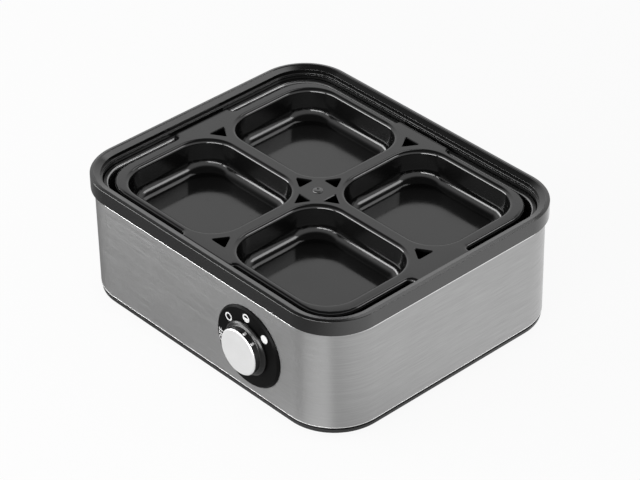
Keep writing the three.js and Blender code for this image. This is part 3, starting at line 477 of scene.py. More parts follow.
def moulded_grain_group():
    """Fine texture of a mould: a height, and a slow change of tone."""
    inputs = {"Grain Scale": 2500.0, "Cloud Scale": 30.0}
    tree, given, out = new_group("Moulded grain", inputs, ["Height", "Tone"])
    fine = stretched_noise(tree, given.outputs["Grain Scale"], 2.0)
    cloud = stretched_noise(tree, given.outputs["Cloud Scale"], 3.0)
    tree.links.new(fine, out.inputs["Height"])
    tree.links.new(cloud, out.inputs["Tone"])
    return tree


def handling_group():
    """Soft smudges and a few fine scratches on a glossy skin."""
    inputs = {"Smudge Scale": 45.0, "Scratch Scale": 60.0}
    tree, given, out = new_group("Handling marks", inputs, ["Smudge", "Scratch"])
    smudge = stretched_noise(tree, given.outputs["Smudge Scale"], 4.0)
    long_noise = stretched_noise(tree, given.outputs["Scratch Scale"], 2.0, (1, 14, 3))
    tree.links.new(spread(tree, smudge), out.inputs["Smudge"])
    tree.links.new(maths(tree, "GREATER_THAN", long_noise, 0.72), out.inputs["Scratch"])
    return tree


def brushed_lines_group():
    """Long fine lines that run round the wall: short ones over long ones."""
    inputs = {"Fine Scale": 1.0, "Broad Scale": 1.0}
    tree, given, out = new_group("Brushed lines", inputs, ["Lines", "Height"])
    fine = stretched_noise(tree, given.outputs["Fine Scale"], 3.0, (70, 70, 5200))
    broad = stretched_noise(tree, given.outputs["Broad Scale"], 2.0, (34, 34, 1300))
    lines = maths(tree, "ADD", maths(tree, "MULTIPLY", fine, 0.7), maths(tree, "MULTIPLY", broad, 0.3))
    tree.links.new(spread(tree, lines), out.inputs["Lines"])
    tree.links.new(fine, out.inputs["Height"])
    return tree


GRAIN = moulded_grain_group()
HANDLING = handling_group()
BRUSHED = brushed_lines_group()

# Depth of the fine texture in metres, its scale, and what a scratch adds to the roughness
MOULD_DEPTH = 0.00005
METAL_DEPTH = 0.00004
MOULD_GRAIN = 2500.0
COAT_GRAIN = 900.0
METAL_GRAIN = 1800.0
METAL_CLOUD = 120.0
SCRATCH_ROUGH = 0.12


def place_group(tree, group, **values):
    node = tree.nodes.new("ShaderNodeGroup")
    node.node_tree = group
    for key, value in values.items():
        node.inputs[key.replace("_", " ")].default_value = value
    return node.outputs


def new_material(name):
    material = bpy.data.materials.new(name)
    material.use_nodes = True
    tree = material.node_tree
    return material, tree, tree.nodes["Principled BSDF"]


def bump(tree, shader, height, strength, distance):
    node = add(tree, "ShaderNodeBump", Strength=strength, Distance=distance, Height=height)
    tree.links.new(node.outputs["Normal"], shader.inputs["Normal"])


def moulded_plastic(name, dark, light, smooth, rough, grain=0.2, grain_scale=MOULD_GRAIN, specular=0.35):
    """Moulded plastic: fine grain, and a tone and a gloss that change slowly."""
    material, tree, shader = new_material(name)
    mould = place_group(tree, GRAIN, Grain_Scale=grain_scale)
    tree.links.new(tones(tree, mould["Tone"], dark, light), shader.inputs["Base Color"])
    tree.links.new(between(tree, mould["Tone"], smooth, rough), shader.inputs["Roughness"])
    shader.inputs["Specular IOR Level"].default_value = specular
    bump(tree, shader, mould["Height"], grain, MOULD_DEPTH)
    return material


def glossy_coat(name, dark, light, smooth, rough, specular=0.5):
    """Glossy non-stick coating with smudges and hair scratches."""
    material, tree, shader = new_material(name)
    marks = place_group(tree, HANDLING)
    grain = place_group(tree, GRAIN, Grain_Scale=COAT_GRAIN)
    tree.links.new(tones(tree, marks["Smudge"], dark, light), shader.inputs["Base Color"])
    gloss = between(tree, marks["Smudge"], smooth, rough)
    scratches = maths(tree, "MULTIPLY", marks["Scratch"], SCRATCH_ROUGH)
    tree.links.new(maths(tree, "ADD", gloss, scratches), shader.inputs["Roughness"])
    shader.inputs["Specular IOR Level"].default_value = specular
    bump(tree, shader, grain["Height"], 0.03, MOULD_DEPTH)
    return material


def worn_highlight_coat(name, dark, light, smooth, rough, bare_highlight, low, high):
    """Glossy coating with a band of bare bright steel on one rounded edge, between two heights: partly wear,
    and partly a painted highlight along that edge.
    """
    material = glossy_coat(name, dark, light, smooth, rough)
    tree = material.node_tree
    shader = tree.nodes["Principled BSDF"]
    coat = shader.inputs["Base Color"].links[0].from_socket
    # Painted highlight, partly wear: bare bright steel between the two heights
    height = axes(tree)["Z"]
    above = maths(tree, "GREATER_THAN", height, low * MM)
    below = maths(tree, "LESS_THAN", height, high * MM)
    edge = maths(tree, "MULTIPLY", above, below)
    tree.links.new(mixed_colour(tree, edge, coat, (*bare_highlight, 1)), shader.inputs["Base Color"])
    tree.links.new(edge, shader.inputs["Metallic"])
    return material


def brushed_steel(name, dark, light, smooth, rough):
    """Stainless sheet brushed round the body; its pale lines are the smoother ones."""
    material, tree, shader = new_material(name)
    brushing = place_group(tree, BRUSHED)
    tree.links.new(tones(tree, brushing["Lines"], dark, light), shader.inputs["Base Color"])
    tree.links.new(between(tree, brushing["Lines"], rough, smooth), shader.inputs["Roughness"])
    shader.inputs["Metallic"].default_value = 1.0
    shader.inputs["Anisotropic"].default_value = 0.8
    shader.inputs["Anisotropic Rotation"].default_value = 0.25
    bump(tree, shader, brushing["Height"], 0.12, METAL_DEPTH)
    return material


def plain_metal(name, dark, light, smooth, rough, metallic=1.0):
    """Rolled or plated metal with a fine tooth."""
    material, tree, shader = new_material(name)
    tooth = place_group(tree, GRAIN, Grain_Scale=METAL_GRAIN, Cloud_Scale=METAL_CLOUD)
    tree.links.new(tones(tree, tooth["Tone"], dark, light), shader.inputs["Base Color"])
    tree.links.new(between(tree, tooth["Tone"], smooth, rough), shader.inputs["Roughness"])
    shader.inputs["Metallic"].default_value = metallic
    bump(tree, shader, tooth["Height"], 0.1, METAL_DEPTH)
    return material


def grey(level):
    return (level, level, level)


def lead_skin(name, colour):
    return moulded_plastic(name, tuple(0.85 * part for part in colour), colour, 0.45, 0.6, specular=0.5)


# Finishes: darkest and lightest tone, then the least and the most roughness
RIM_PLASTIC = moulded_plastic("Rim plastic", grey(0.003), grey(0.005), 0.12, 0.2, grain=0.03, specular=0.8)
BASE_PLASTIC = moulded_plastic("Base plastic", grey(0.010), grey(0.016), 0.34, 0.46, specular=0.28)
TRAY_COAT = glossy_coat("Tray coating", grey(0.003), grey(0.006), 0.08, 0.16, specular=0.62)
# Bowl coating: bare steel band on the flange's edge, partly wear and partly a painted highlight
BOWL_COAT = worn_highlight_coat(
    "Bowl coating", grey(0.003), grey(0.006), 0.2, 0.3, grey(0.28), flange_z - 1.3, flange_z - 0.06
)
STEEL = brushed_steel("Brushed steel", grey(0.29), grey(0.38), 0.28, 0.42)
HEM_STEEL = plain_metal("Polished hem", grey(0.74), grey(0.84), 0.3, 0.38)
DIAL_BLACK = moulded_plastic("Dial black", grey(0.003), grey(0.004), 0.3, 0.4, grain=0.1, specular=0.04)
KNOB_BLACK = moulded_plastic("Knob black", grey(0.006), grey(0.010), 0.18, 0.26, grain=0.08, specular=0.35)
MARK_PAINT = moulded_plastic("Printed marks", grey(0.46), grey(0.53), 0.5, 0.6, grain=0.05)
CAP_SILVER = plain_metal("Knob cap silver", grey(0.65), grey(0.71), 0.3, 0.4, metallic=0.55)
ZINC = plain_metal("Zinc plated steel", (0.52, 0.53, 0.54), (0.64, 0.65, 0.66), 0.32, 0.48)
RIVET_STEEL = plain_metal("Rivet steel", grey(0.12), grey(0.18), 0.25, 0.4)
BRASS = plain_metal("Brass", (0.62, 0.44, 0.18), (0.72, 0.53, 0.24), 0.28, 0.42)
HEATER_SHEATH = plain_metal("Heater sheath", (0.16, 0.14, 0.12), (0.28, 0.25, 0.22), 0.5, 0.65, metallic=0.9)
FOOT_RUBBER = moulded_plastic(
    "Foot rubber", grey(0.014), grey(0.022), 0.7, 0.85, grain=0.5, grain_scale=1500.0
)
SILICONE = moulded_plastic("Seal silicone", (0.26, 0.05, 0.03), (0.32, 0.07, 0.04), 0.55, 0.7)
PHENOLIC = moulded_plastic("Phenolic moulding", (0.035, 0.02, 0.012), (0.05, 0.03, 0.018), 0.45, 0.6)
CERAMIC = moulded_plastic("Ceramic sleeve", (0.68, 0.66, 0.60), (0.76, 0.74, 0.68), 0.4, 0.55)
SOCKET_BLACK = moulded_plastic("Socket black", grey(0.02), grey(0.03), 0.32, 0.45, specular=0.5)
RED_LEAD = lead_skin("Red lead", (0.45, 0.03, 0.02))
BLUE_LEAD = lead_skin("Blue lead", (0.02, 0.08, 0.36))


# Housing
def make_rim():
    """Top rim: narrow crown, a land that slopes in, step for a lid, ledge and groove for the sleeve."""
    crown, crown_drop = 2.3, 0.4
    land_z, step_z = lip_z - 1.45, lip_z - 4
    ledge, ledge_z, skirt_z = LIP_INNER + 1.8, flange_z - 2, flange_z - 5
    wall = 1.6
    groove_start, groove_end, groove_z = 0.9, 3.6, rim_z + 5
    points = [
        (0, rim_z, SOFT_ROUND),
        (0, lip_z - crown_drop, 0.35),
        (crown - crown_drop, lip_z, SOFT_ROUND),
        (crown, lip_z - crown_drop, 0.25),
        (LIP_WIDTH, land_z, 0.12),
        (LIP_WIDTH, step_z, FINE_ROUND),
        (LIP_INNER, step_z - 0.1, 0.12),
        (LIP_INNER, ledge_z, SOFT_ROUND),
        (ledge, ledge_z, EDGE_ROUND),
        (ledge, skirt_z, SOFT_ROUND),
        (ledge - wall, skirt_z, SOFT_ROUND),
        (ledge - wall, ledge_z - wall),
        (groove_end, ledge_z - wall),
        (groove_end, groove_z),
        (groove_start, groove_z),
        (groove_start, rim_z, FINE_ROUND),
    ]
    bm = sweep(points, RIM)
    finish_mesh("rim_moulding", bm, RIM_PLASTIC, "housing", ["top_rim"], HOUSING_PLACE)


def pierce_sleeve(bm):
    """Cuts the hole for the dial's bush in front, and those for the inlet and its screws behind."""
    bush = bore(BUSH_HOLE, 0, -SLEEVE_WALL)
    corners = rectangle(SOCKET.half_x + FIT, SOCKET.half_y + FIT, SOCKET.radius)
    socket = open_ends(prism(corners, -SLEEVE_WALL, 0))
    for side in (-1, 1):
        screw = bore(INLET_SCREW_BORE, 0, -SLEEVE_WALL, 24)
        join_into(socket, screw, Matrix.Translation((side * INLET_SCREW_X, 0, 0)))
    faces = [side * (SLEEVE.half_y - depth) for side in (-1, 1) for depth in (0, SLEEVE_WALL)]
    for face in faces:
        remove_flat(bm, face, axis=1)
    from_middle = HOUSING_PLACE.inverted()
    join_into(bm, bush, from_middle @ DIAL_PLACE)
    join_into(bm, socket, from_middle @ INLET_PLACE)
    for face in faces:
        fill_level(bm, face, axis=1)


def make_sleeve():
    """Stainless band with a polished hem under the rim and a polished lower edge."""
    steps = 32
    foot_z, tuck_z = sleeve_low.z, rim_z + 3
    hem, lower_edge = 0.55, 0.08
    points = [
        (0, foot_z, EDGE_ROUND),
        (0, tuck_z),
        (SLEEVE_WALL, tuck_z),
        (SLEEVE_WALL, foot_z, EDGE_ROUND),
    ]
    bm = sweep(points, SLEEVE, steps=steps)
    pierce_sleeve(bm)
    finish_mesh("sleeve_band", bm, STEEL, "housing", ["steel_sleeve"], HOUSING_PLACE)
    upper = [
        (0.2, rim_z - 1.2),
        (-hem, rim_z - 1.05, 0.25),
        (0.3 - hem, rim_z - 0.4, 0.15),
        (0.2, rim_z - 0.1),
    ]
    lower = [
        (0.4, foot_z - 0.05),
        (-lower_edge, foot_z - 0.05, 0.05),
        (-lower_edge, foot_z + 0.3, 0.1),
        (0.3, foot_z + 0.4),
    ]
    bm = sweep(upper, SLEEVE, steps=steps)
    join_into(bm, sweep(lower, SLEEVE, steps=steps))
    finish_mesh("sleeve_hem", bm, HEM_STEEL, "housing", place=HOUSING_PLACE)


def make_base():
    """Base pan: outer strip, upstand inside the sleeve, floor with vents, screw towers and foot holes."""
    low, top = base_low.z, sleeve_low.z
    flat, floor = 16, low + PAN_FLOOR
    seam, gap = 0.1, 3
    upstand, upstand_wall, upstand_z = 1.2, 3.3, top + 7
    points = [
        (flat, low),
        (0.5, low, 0.35),
        (seam, top - 1.1, EDGE_ROUND),
        (gap, top - 1.9, FINE_ROUND),
        (gap, top - seam),
        (upstand, top - seam),
        (upstand, upstand_z, SOFT_ROUND),
        (upstand + upstand_wall, upstand_z, SOFT_ROUND),
        (upstand + upstand_wall, floor, 0.6),
        (flat, floor),
    ]
    bm = sweep(points, SLEEVE, closed=False)
    head, shank, tower = 3.9, 2.3, 5
    points = [
        (head + 0.3, low),
        (head, low + 0.3),
        (head, SCREW_SEAT),
        (shank, SCREW_SEAT),
        (shank, base_high.z),
        (tower, base_high.z, SOFT_ROUND),
        (tower, floor, 0.5),
        (tower + 1.5, floor),
    ]
    for place in four_places(*POST):
        join_into(bm, ring_lathe(points, 40, closed=False), place)
    for place in four_places(*FOOT):
        join_into(bm, bore(FOOT_NECK + FIT, low, floor), place)
    for vent in range(-2, 3):
        slot = open_ends(prism(rectangle(20, 2, 1.9), low, floor))
        join_into(bm, slot, Matrix.Translation((0, vent * 9, 0)))
    fill_level(bm, low)
    fill_level(bm, floor)
    finish_mesh("base_shell", bm, BASE_PLASTIC, "housing", ["base_pan"], HOUSING_PLACE)


def weld_post(under):
    """Post welded under the bowl, with a blind bore for a tie screw."""
    radius, low = 3.6, under - 8.8
    bore_radius, bore_z = 2.2, low + 7
    points = [
        (0, bore_z),
        (bore_radius, bore_z),
        (bore_radius, low, FINE_ROUND),
        (radius, low, SOFT_ROUND),
        (radius, under),
    ]
    return lathe(points, 40)


def weld_stud(radius, length, under):
    return lathe([(0, under - length), (radius, under - length, SOFT_ROUND), (radius, under)], 32)


def make_bowl():
    """Heating bowl: flange, shoulder, wall and floor pressed from one sheet, with its posts and studs."""
    edge = LIP_INNER + FIT
    flange = edge + 2.3
    shoulder, shoulder_z = flange + 3.2, flange_z - 5.8
    foot, floor = shoulder + 1, flange_z - BOWL_DEPTH
    flat, under = 24, floor - BOWL_WALL
    side_wall, floor_round = 0.8, 7
    points = [
        (flat, under),
        (foot - side_wall, under, floor_round + BOWL_WALL),
        (shoulder - side_wall, shoulder_z - side_wall, 1.5),
        (flange - side_wall, flange_z - BOWL_WALL, 0.8),
        (edge, flange_z - BOWL_WALL, EDGE_ROUND),
        (edge, flange_z, EDGE_ROUND),
        (flange, flange_z, 1.2),
        (shoulder, shoulder_z, 1.5),
        (foot, floor, floor_round),
        (flat, floor),
    ]
    bm = sweep(points, RIM, closed=False)
    for place in four_places(*POST):
        join_into(bm, weld_post(under), place)
    for x, y, radius, length in BOWL_STUDS:
        join_into(bm, weld_stud(radius, length, under), Matrix.Translation((x, y, 0)))
    fill_level(bm, under)
    fill_level(bm, floor)
    finish_mesh("bowl_pressing", bm, BOWL_COAT, "housing", ["heating_bowl"], HOUSING_PLACE)


# Cooking tray
def tray_corners(shrink):
    """Outline of the tray with its four tabs, drawn in by a wall."""
    tab_x = RIM.half_x - LIP_INNER - TAB_GAP - shrink
    tab_y = RIM.half_y - LIP_INNER - TAB_GAP - shrink
    half = TAB_HALF - shrink
    body_x, body_y = TRAY.half_x - shrink, TRAY.half_y - shrink
    tip = TAB_TIP_ROUND - shrink * TAB_TIP_SHARE
    root = TAB_ROOT_ROUND + shrink
    quadrant = [
        (tab_x, half, tip),
        (body_x, half, root),
        (body_x, body_y, TRAY.radius - shrink),
        (half, body_y, root),
        (half, tab_y, tip),
    ]
    corners = []
    for sign_x, sign_y in QUADRANTS:
        points = [(sign_x * x, sign_y * y, radius) for x, y, radius in quadrant]
        corners += points if sign_x * sign_y > 0 else points[::-1]
    return corners


def triangle_corners(near, far, half, angle):
    """A triangular hole, given by its wall and widened by the slope round its mouth."""
    grow = math.copysign(HOLE_SLOPE, far - near)
    side = half + 2 * HOLE_SLOPE
    tips = [(near - grow, -side), (far + 2 * grow, 0), (near - grow, side)]
    turn = Matrix.Rotation(angle, 2)
    return [(*(turn @ Vector(tip)), HOLE_CORNER) for tip in tips]


def hole_corners():
    """The triangular holes: four round the hub and one near each side."""
    holes = []
    for quarter in range(4):
        angle = quarter * QUARTER
        across = quarter % 2
        line = TRAY[across] - BORDER[across]
        holes.append(triangle_corners(*HUB_HOLE, angle))
        holes.append(triangle_corners(line - SIDE_HOLE_START, line - SIDE_HOLE_END, SIDE_HOLE_HALF, angle))
    return holes


def well_skin(wall, top):
    """One side of a well: its rounded mouth, its steep wall and its flat floor."""
    floor_z = tray_z - WELL_DEPTH - wall
    mouth = MOUTH_ROUND - wall
    points = [
        (-mouth, top),
        (0, top, mouth),
        (WELL_DRAFT, floor_z, WELL_FLOOR_ROUND + wall),
        (WELL_FLAT, floor_z),
    ]
    well = sweep(points, grown(WELL, wall), closed=False, steps=14)
    floor = [edge for edge in well.edges if edge.is_boundary and lies_at(edge, floor_z)]
    bmesh.ops.holes_fill(well, edges=floor, sides=0)
    return well


def sink_hole(hole, inner):
    """Slopes the hole's edge and takes its wall down to the underside."""
    bmesh.ops.translate(hole, verts=inner.verts, vec=(0, 0, -HOLE_DIP))
    moved = bmesh.ops.extrude_face_region(hole, geom=[inner])["geom"]
    bmesh.ops.translate(hole, verts=verts_of(moved), vec=(0, 0, HOLE_DIP - TRAY_WALL))
    bottom = [item for item in moved if isinstance(item, bmesh.types.BMFace)]
    bmesh.ops.delete(hole, geom=bottom + ([inner] if inner.is_valid else []), context="FACES_ONLY")


def keep_loop(hole, inner):
    """Keeps only the inner loop of a hole, as edges."""
    keep = set(inner.verts)
    bmesh.ops.delete(hole, geom=[vert for vert in hole.verts if vert not in keep], context="VERTS")
    bmesh.ops.delete(hole, geom=hole.faces[:], context="FACES_ONLY")


def tray_skin(bm, wall):
    """One side of the tray's sheet: its outer edge, its wells and its flat top, drawn in by a wall."""
    top = tray_z - wall
    skin = bmesh.new()
    edge = prism(tray_corners(wall), tray_z - TRAY_RIM, top, TRAY_EDGE_ROUND - wall, segments=4)
    join_into(skin, open_ends(edge))
    for place in four_places(*WELL_PLACE):
        join_into(skin, well_skin(wall, top), place)
    for corners in hole_corners():
        hole = bmesh.new()
        face = flat_face(hole, corners, top)
        bmesh.ops.inset_individual(hole, faces=[face], thickness=HOLE_SLOPE, depth=0)
        inner = max(hole.faces, key=lambda item: len(item.verts))
        if wall == 0:
            sink_hole(hole, inner)
        else:
            keep_loop(hole, inner)
        join_into(skin, hole)
    fill_level(skin, top)
    join_into(bm, skin)


def make_tray():
    """Cooking tray: one coated sheet with four wells, tabs, ribs and triangular holes."""
    bm = bmesh.new()
    tray_skin(bm, 0)
    tray_skin(bm, TRAY_WALL)
    fill_level(bm, tray_z - TRAY_RIM)
    angle = math.radians(30)
    finish_mesh("tray_sheet", bm, TRAY_COAT, "tray", ["cooking_tray"], HOUSING_PLACE, angle)


def make_rivet():
    """Rivet in the hub: a rounded head with a dimple, a shank, and a tail set under the tray."""
    tail, tail_z = 2.2, rivet_low.z + 0.7
    shank, head, dimple = 1.5, 2.7, 1.4
    head_z = tray_z + 0.8
    points = [
        (0, rivet_low.z),
        (tail, rivet_low.z, FINE_ROUND),
        (tail, tail_z),
        (shank, tail_z),
        (shank, tray_z),
        (head, tray_z, 0.1),
        (head, tray_z + 0.35, EDGE_ROUND),
        (head - 0.8, head_z, EDGE_ROUND),
        (dimple, head_z, 0.1),
        (dimple - 0.4, tray_z + 0.35, FINE_ROUND),
        (0, tray_z + 0.3),
    ]
    bm = lathe(points, 48)
    finish_mesh("rivet_head", bm, RIVET_STEEL, "tray", ["tray_rivet"], HOUSING_PLACE)


# Dial and knob
def make_dial():
    """Round dial plate with a chamfered face."""
    radius = (dial_high.x - dial_low.x) / 2
    points = [
        (0, 0),
        (radius, 0, 0.1),
        (radius, dial_thick - 1, EDGE_ROUND),
        (radius - 1.1, dial_thick, EDGE_ROUND),
        (0, dial_thick),
    ]
    bm = lathe(points, 128)
    finish_mesh("dial_disc", bm, DIAL_BLACK, "housing", ["dial_plate"], DIAL_PLACE)


def make_knob():
    """Knob: wide skirt, tapered grip, and a recess behind for the control's nut and shaft."""
    skirt = (knob_high.x - knob_low.x) / 2
    shaft, shaft_z = 3.3, knob_foot + 4.1
    recess, recess_z = 8.2, knob_foot + 2.2
    points = [
        (0, shaft_z),
        (shaft, shaft_z),
        (shaft, recess_z, FINE_ROUND),
        (recess, recess_z),
        (recess, knob_foot, EDGE_ROUND),
        (skirt, knob_foot, FINE_ROUND),
        (skirt, knob_foot + 1.0, 0.5),
        (skirt - 0.8, knob_foot + 1.7, 0.6),
        (GRIP_RADIUS + 0.4, knob_foot + 2.4, 0.7),
        (GRIP_RADIUS, knob_top, EDGE_ROUND),
        (0, knob_top),
    ]
    bm = lathe(points, 128)
    finish_mesh("knob_shell", bm, KNOB_BLACK, "knob", ["knob_body"], DIAL_PLACE)


def make_cap():
    """Metal cap on the knob's face, a little wider than the grip."""
    radius = (cap_high.x - cap_low.x) / 2
    low, top = knob_top + 0.02, dial_high.y - cap_low.y
    points = [
        (0, low),
        (radius - 0.4, low, 0.1),
        (radius, knob_top + 0.4, FINE_ROUND),
        (radius, top - 0.45, FINE_ROUND),
        (radius - 0.5, top, 0.25),
        (0, top),
    ]
    bm = lathe(points, 128)
    finish_mesh("knob_disc", bm, CAP_SILVER, "knob", ["knob_cap"], DIAL_PLACE)


def on_dial(clockwise, radius, height):
    """A place on the dial, given clockwise from the top."""
    angle = math.radians(clockwise)
    return Matrix.Translation((radius * math.sin(angle), radius * math.cos(angle), height))


def mark_disc(radius):
    return lathe([(0, 0), (radius, 0), (radius, MARK_HEIGHT), (0, MARK_HEIGHT)], 40)


def make_marks():
    """Printed heat marks: a ring, a ring filled below, and a filled disc."""
    bm = bmesh.new()
    top = on_dial(0, MARK_PLACE, dial_thick)
    ring = [(MARK_HOLLOW, 0), (MARK_RADIUS, 0), (MARK_RADIUS, MARK_HEIGHT), (MARK_HOLLOW, MARK_HEIGHT)]
    join_into(bm, ring_lathe(ring, 40), on_dial(-MARK_STEP, MARK_PLACE, dial_thick))
    join_into(bm, ring_lathe(ring, 40), top)
    half = mark_disc(MARK_HOLLOW + 0.1)
    cut = half.verts[:] + half.edges[:] + half.faces[:]
    bmesh.ops.bisect_plane(half, geom=cut, plane_co=(0, 0.2, 0), plane_no=(0, 1, 0), clear_outer=True)
    fill_holes(half)
    join_into(bm, half, top)
    join_into(bm, mark_disc(MARK_RADIUS), on_dial(MARK_STEP, MARK_PLACE, dial_thick))
    finish_mesh("dial_marks", bm, MARK_PAINT, "housing", place=DIAL_PLACE)


def make_word():
    """The printed word OFF, set along the dial's edge."""
    word = bpy.data.curves.new("off_word", "FONT")
    word.body = "OFF"
    word.size = WORD_SIZE
    word.extrude = MARK_HEIGHT / 2
    word.align_x = "CENTER"
    word.align_y = "CENTER"
    flat = new_object("off_flat", word)
    bpy.context.view_layer.update()
    bm = bmesh.new()
    bm.from_mesh(flat.to_mesh())
    flat.to_mesh_clear()
    bpy.data.objects.remove(flat)
    upright = Matrix.Rotation(QUARTER, 4, "Z")
    place = on_dial(WORD_ANGLE, WORD_PLACE, dial_thick + MARK_HEIGHT / 2)
    bmesh.ops.transform(bm, matrix=place @ upright, verts=bm.verts)
    finish_mesh("off_word", bm, MARK_PAINT, "housing", place=DIAL_PLACE)


def make_index():
    """Two short raised bars on the side of the knob, either side of its pointer direction."""
    bm = bmesh.new()
    for side in (-14.5, 14.5):
        bar = prism(rectangle(0.75, 0.8, 0.5), knob_top - 2, knob_top - 0.2, 0.25)
        turn = Matrix.Rotation(-math.radians(KNOB_AIM + side), 4, "Z")
        join_into(bm, bar, on_dial(KNOB_AIM + side, GRIP_RADIUS - 0.2, 0) @ turn)
    finish_mesh("knob_index", bm, CAP_SILVER, "knob", place=DIAL_PLACE)


# Feet and screws; a screw's head lies face up at height 0 and its shank runs down
def make_feet():
    """Rubber feet with a recess below, and a barbed neck that snaps into the base."""
    radius = 8
    recess, recess_z = 5, 1.2
    barb, barb_z = 3.6, base_low.z + PAN_FLOOR + FIT
    for corner in CORNERS:
        node = f"foot_{corner}"
        low, high = span(node)
        centre = (low + high) / 2
        points = [
            (0, recess_z),
            (recess, recess_z, EDGE_ROUND),
            (recess, 0, EDGE_ROUND),
            (radius, 0, 0.6),
            (radius, base_low.z - 0.02, EDGE_ROUND),
            (FOOT_NECK, base_low.z - 0.02),
            (FOOT_NECK, barb_z),
            (barb, barb_z, FINE_ROUND),
            (FOOT_NECK, high.z, EDGE_ROUND),
            (0, high.z),
        ]
        bm = lathe(points, 48)
        place = Matrix.Translation((centre.x, centre.y, 0))
        finish_mesh(f"rubber_foot_{corner}", bm, FOOT_RUBBER, "housing", [node], place)


def cross_recess(reach, width, depth):
    """A cross-shaped recess with tapered walls, open at height 0."""
    half = width / 2
    corners = []
    for quarter in range(4):
        turn = Matrix.Rotation(quarter * QUARTER, 2)
        corners += [tuple(turn @ Vector(tip)) for tip in [(reach, -half), (reach, half), (half, half)]]
    recess = prism(corners, -depth, 0)
    remove_flat(recess, 0)
    low = [vert for vert in recess.verts if vert.co.z < -depth / 2]
    bmesh.ops.scale(recess, verts=low, vec=(0.55, 0.55, 1))
    return recess


def make_screw(name, node, points, reach, place):
    """A cross-head screw, given by the section of its head and shank from the tip up."""
    bm = lathe(points, 40)
    join_into(bm, cross_recess(reach, reach * 0.42, reach * 0.75))
    fill_level(bm, 0)
    finish_mesh(name, bm, ZINC, "housing", [node], place)


def make_tie_screws():
    """Four screws, head down, that run up through the base's towers."""
    shank = 1.9
    for corner in CORNERS:
        node = f"tie_screw_{corner}"
        low, high = span(node)
        centre = (low + high) / 2
        length = high.z - low.z
        head = (high.x - low.x) / 2
        points = [
            (0, -length),
            (shank - 0.7, -length),
            (shank, 1.2 - length),
            (shank, -SCREW_HEAD, FINE_ROUND),
            (head, -SCREW_HEAD, FINE_ROUND),
            (head, -0.9, 0.8),
            (head - 1, 0),
        ]
        place = Matrix.Translation((centre.x, centre.y, low.z)) @ Matrix.Rotation(math.pi, 4, "X")
        make_screw(f"base_screw_{corner}", node, points, shank, place)


def make_inlet_screws():
    """Two countersunk screws that hold the inlet."""
    shank = 1.5
    for hand in ("left", "right"):
        node = f"inlet_screw_{hand}"
        low, high = span(node)
        centre = (low + high) / 2
        length = high.y - low.y
        head = (high.x - low.x) / 2
        points = [
            (0, -length),
            (shank - 0.5, -length),
            (shank, 0.8 - length),
            (shank, shank - head),
            (head, -0.15, 0.1),
            (head - 0.1, 0),
        ]
        place = Matrix.Translation((centre.x, high.y, centre.z)) @ REAR
        make_screw(f"socket_screw_{hand}", node, points, shank + 0.1, place)


# Mains inlet
def socket_cavity():
    """The hollow of the socket: two cut corners, and a lip that opens outwards."""
    half_x, half_y = SOCKET.half_x - SOCKET_WALL, SOCKET.half_y - SOCKET_WALL
    chamfer_x, chamfer_y = half_x - SOCKET_CHAMFER, half_y - SOCKET_CHAMFER
    lip_depth, lip_flare = 0.5, 0.4
    corners = [
        (chamfer_x, half_y, 0.8),
        (-chamfer_x, half_y, 0.8),
        (-half_x, chamfer_y, 0.8),
        (-half_x, -half_y, 1),
        (half_x, -half_y, 1),
        (half_x, chamfer_y, 0.8),
    ]
    cavity = prism(corners, SOCKET_FLOOR, INLET_FACE - lip_depth)
    remove_flat(cavity, INLET_FACE - lip_depth)
    remove_flat(cavity, SOCKET_FLOOR)
    mouth = [edge for edge in cavity.edges if lies_at(edge, INLET_FACE - lip_depth)]
    lip = verts_of(bmesh.ops.extrude_edge_only(cavity, edges=mouth)["geom"])
    bmesh.ops.translate(cavity, verts=lip, vec=(0, 0, lip_depth))
    bmesh.ops.scale(cavity, verts=lip, vec=(1 + lip_flare / half_x, 1 + lip_flare / half_y, 1))
    return cavity


def make_pin(pin):
    """One brass blade of the socket; returns the slot that it runs through."""
    node = f"inlet_pin_{pin}"
    to_inlet = INLET_PLACE.inverted()
    low, high = span(node)
    centre = to_inlet @ ((low + high) / 2)
    half_x, half_y = (high.x - low.x) / 2, (high.z - low.z) / 2
    tail, tip = sorted([(to_inlet @ low).z, (to_inlet @ high).z])
    blade = prism(rectangle(half_x, half_y, PIN_ROUND), tail, tip, 0.6, segments=2)
    to_pin = Matrix.Translation((centre.x, centre.y, 0))
    finish_mesh(f"socket_pin_{pin}", blade, BRASS, "housing", [node], INLET_PLACE @ to_pin)
    slot = open_ends(prism(rectangle(half_x + FIT, half_y + FIT, PIN_ROUND), INLET_BACK, SOCKET_FLOOR))
    bmesh.ops.transform(slot, matrix=to_pin, verts=slot.verts)
    return slot


def make_inlet():
    """Inlet: rounded flange with countersunk holes, and a socket with its pins."""
    flange = Outline((inlet_high.x - inlet_low.x) / 2, (inlet_high.z - inlet_low.z) / 2, 4)
    bm = sweep([(0, 0), (0, INLET_FACE, 0.7), (1.4, INLET_FACE)], flange, closed=False, steps=10)
    body = [(1.5, INLET_BACK), (0, INLET_BACK, 0.8), (0, 0)]
    join_into(bm, sweep(body, SOCKET, closed=False, steps=8))
    join_into(bm, socket_cavity())
    hole = [(INLET_SCREW_BORE, 0), (INLET_SCREW_BORE, INLET_FACE - 1.3), (3.1, INLET_FACE)]
    for side in (-1, 1):
        place = Matrix.Translation((side * INLET_SCREW_X, 0, 0))
        join_into(bm, ring_lathe(hole, 40, closed=False), place)
    for pin in ("live", "neutral", "earth"):
        join_into(bm, make_pin(pin))
    for height in (INLET_BACK, SOCKET_FLOOR, 0, INLET_FACE):
        fill_level(bm, height)
    finish_mesh("socket_moulding", bm, SOCKET_BLACK, "housing", ["mains_inlet"], INLET_PLACE)


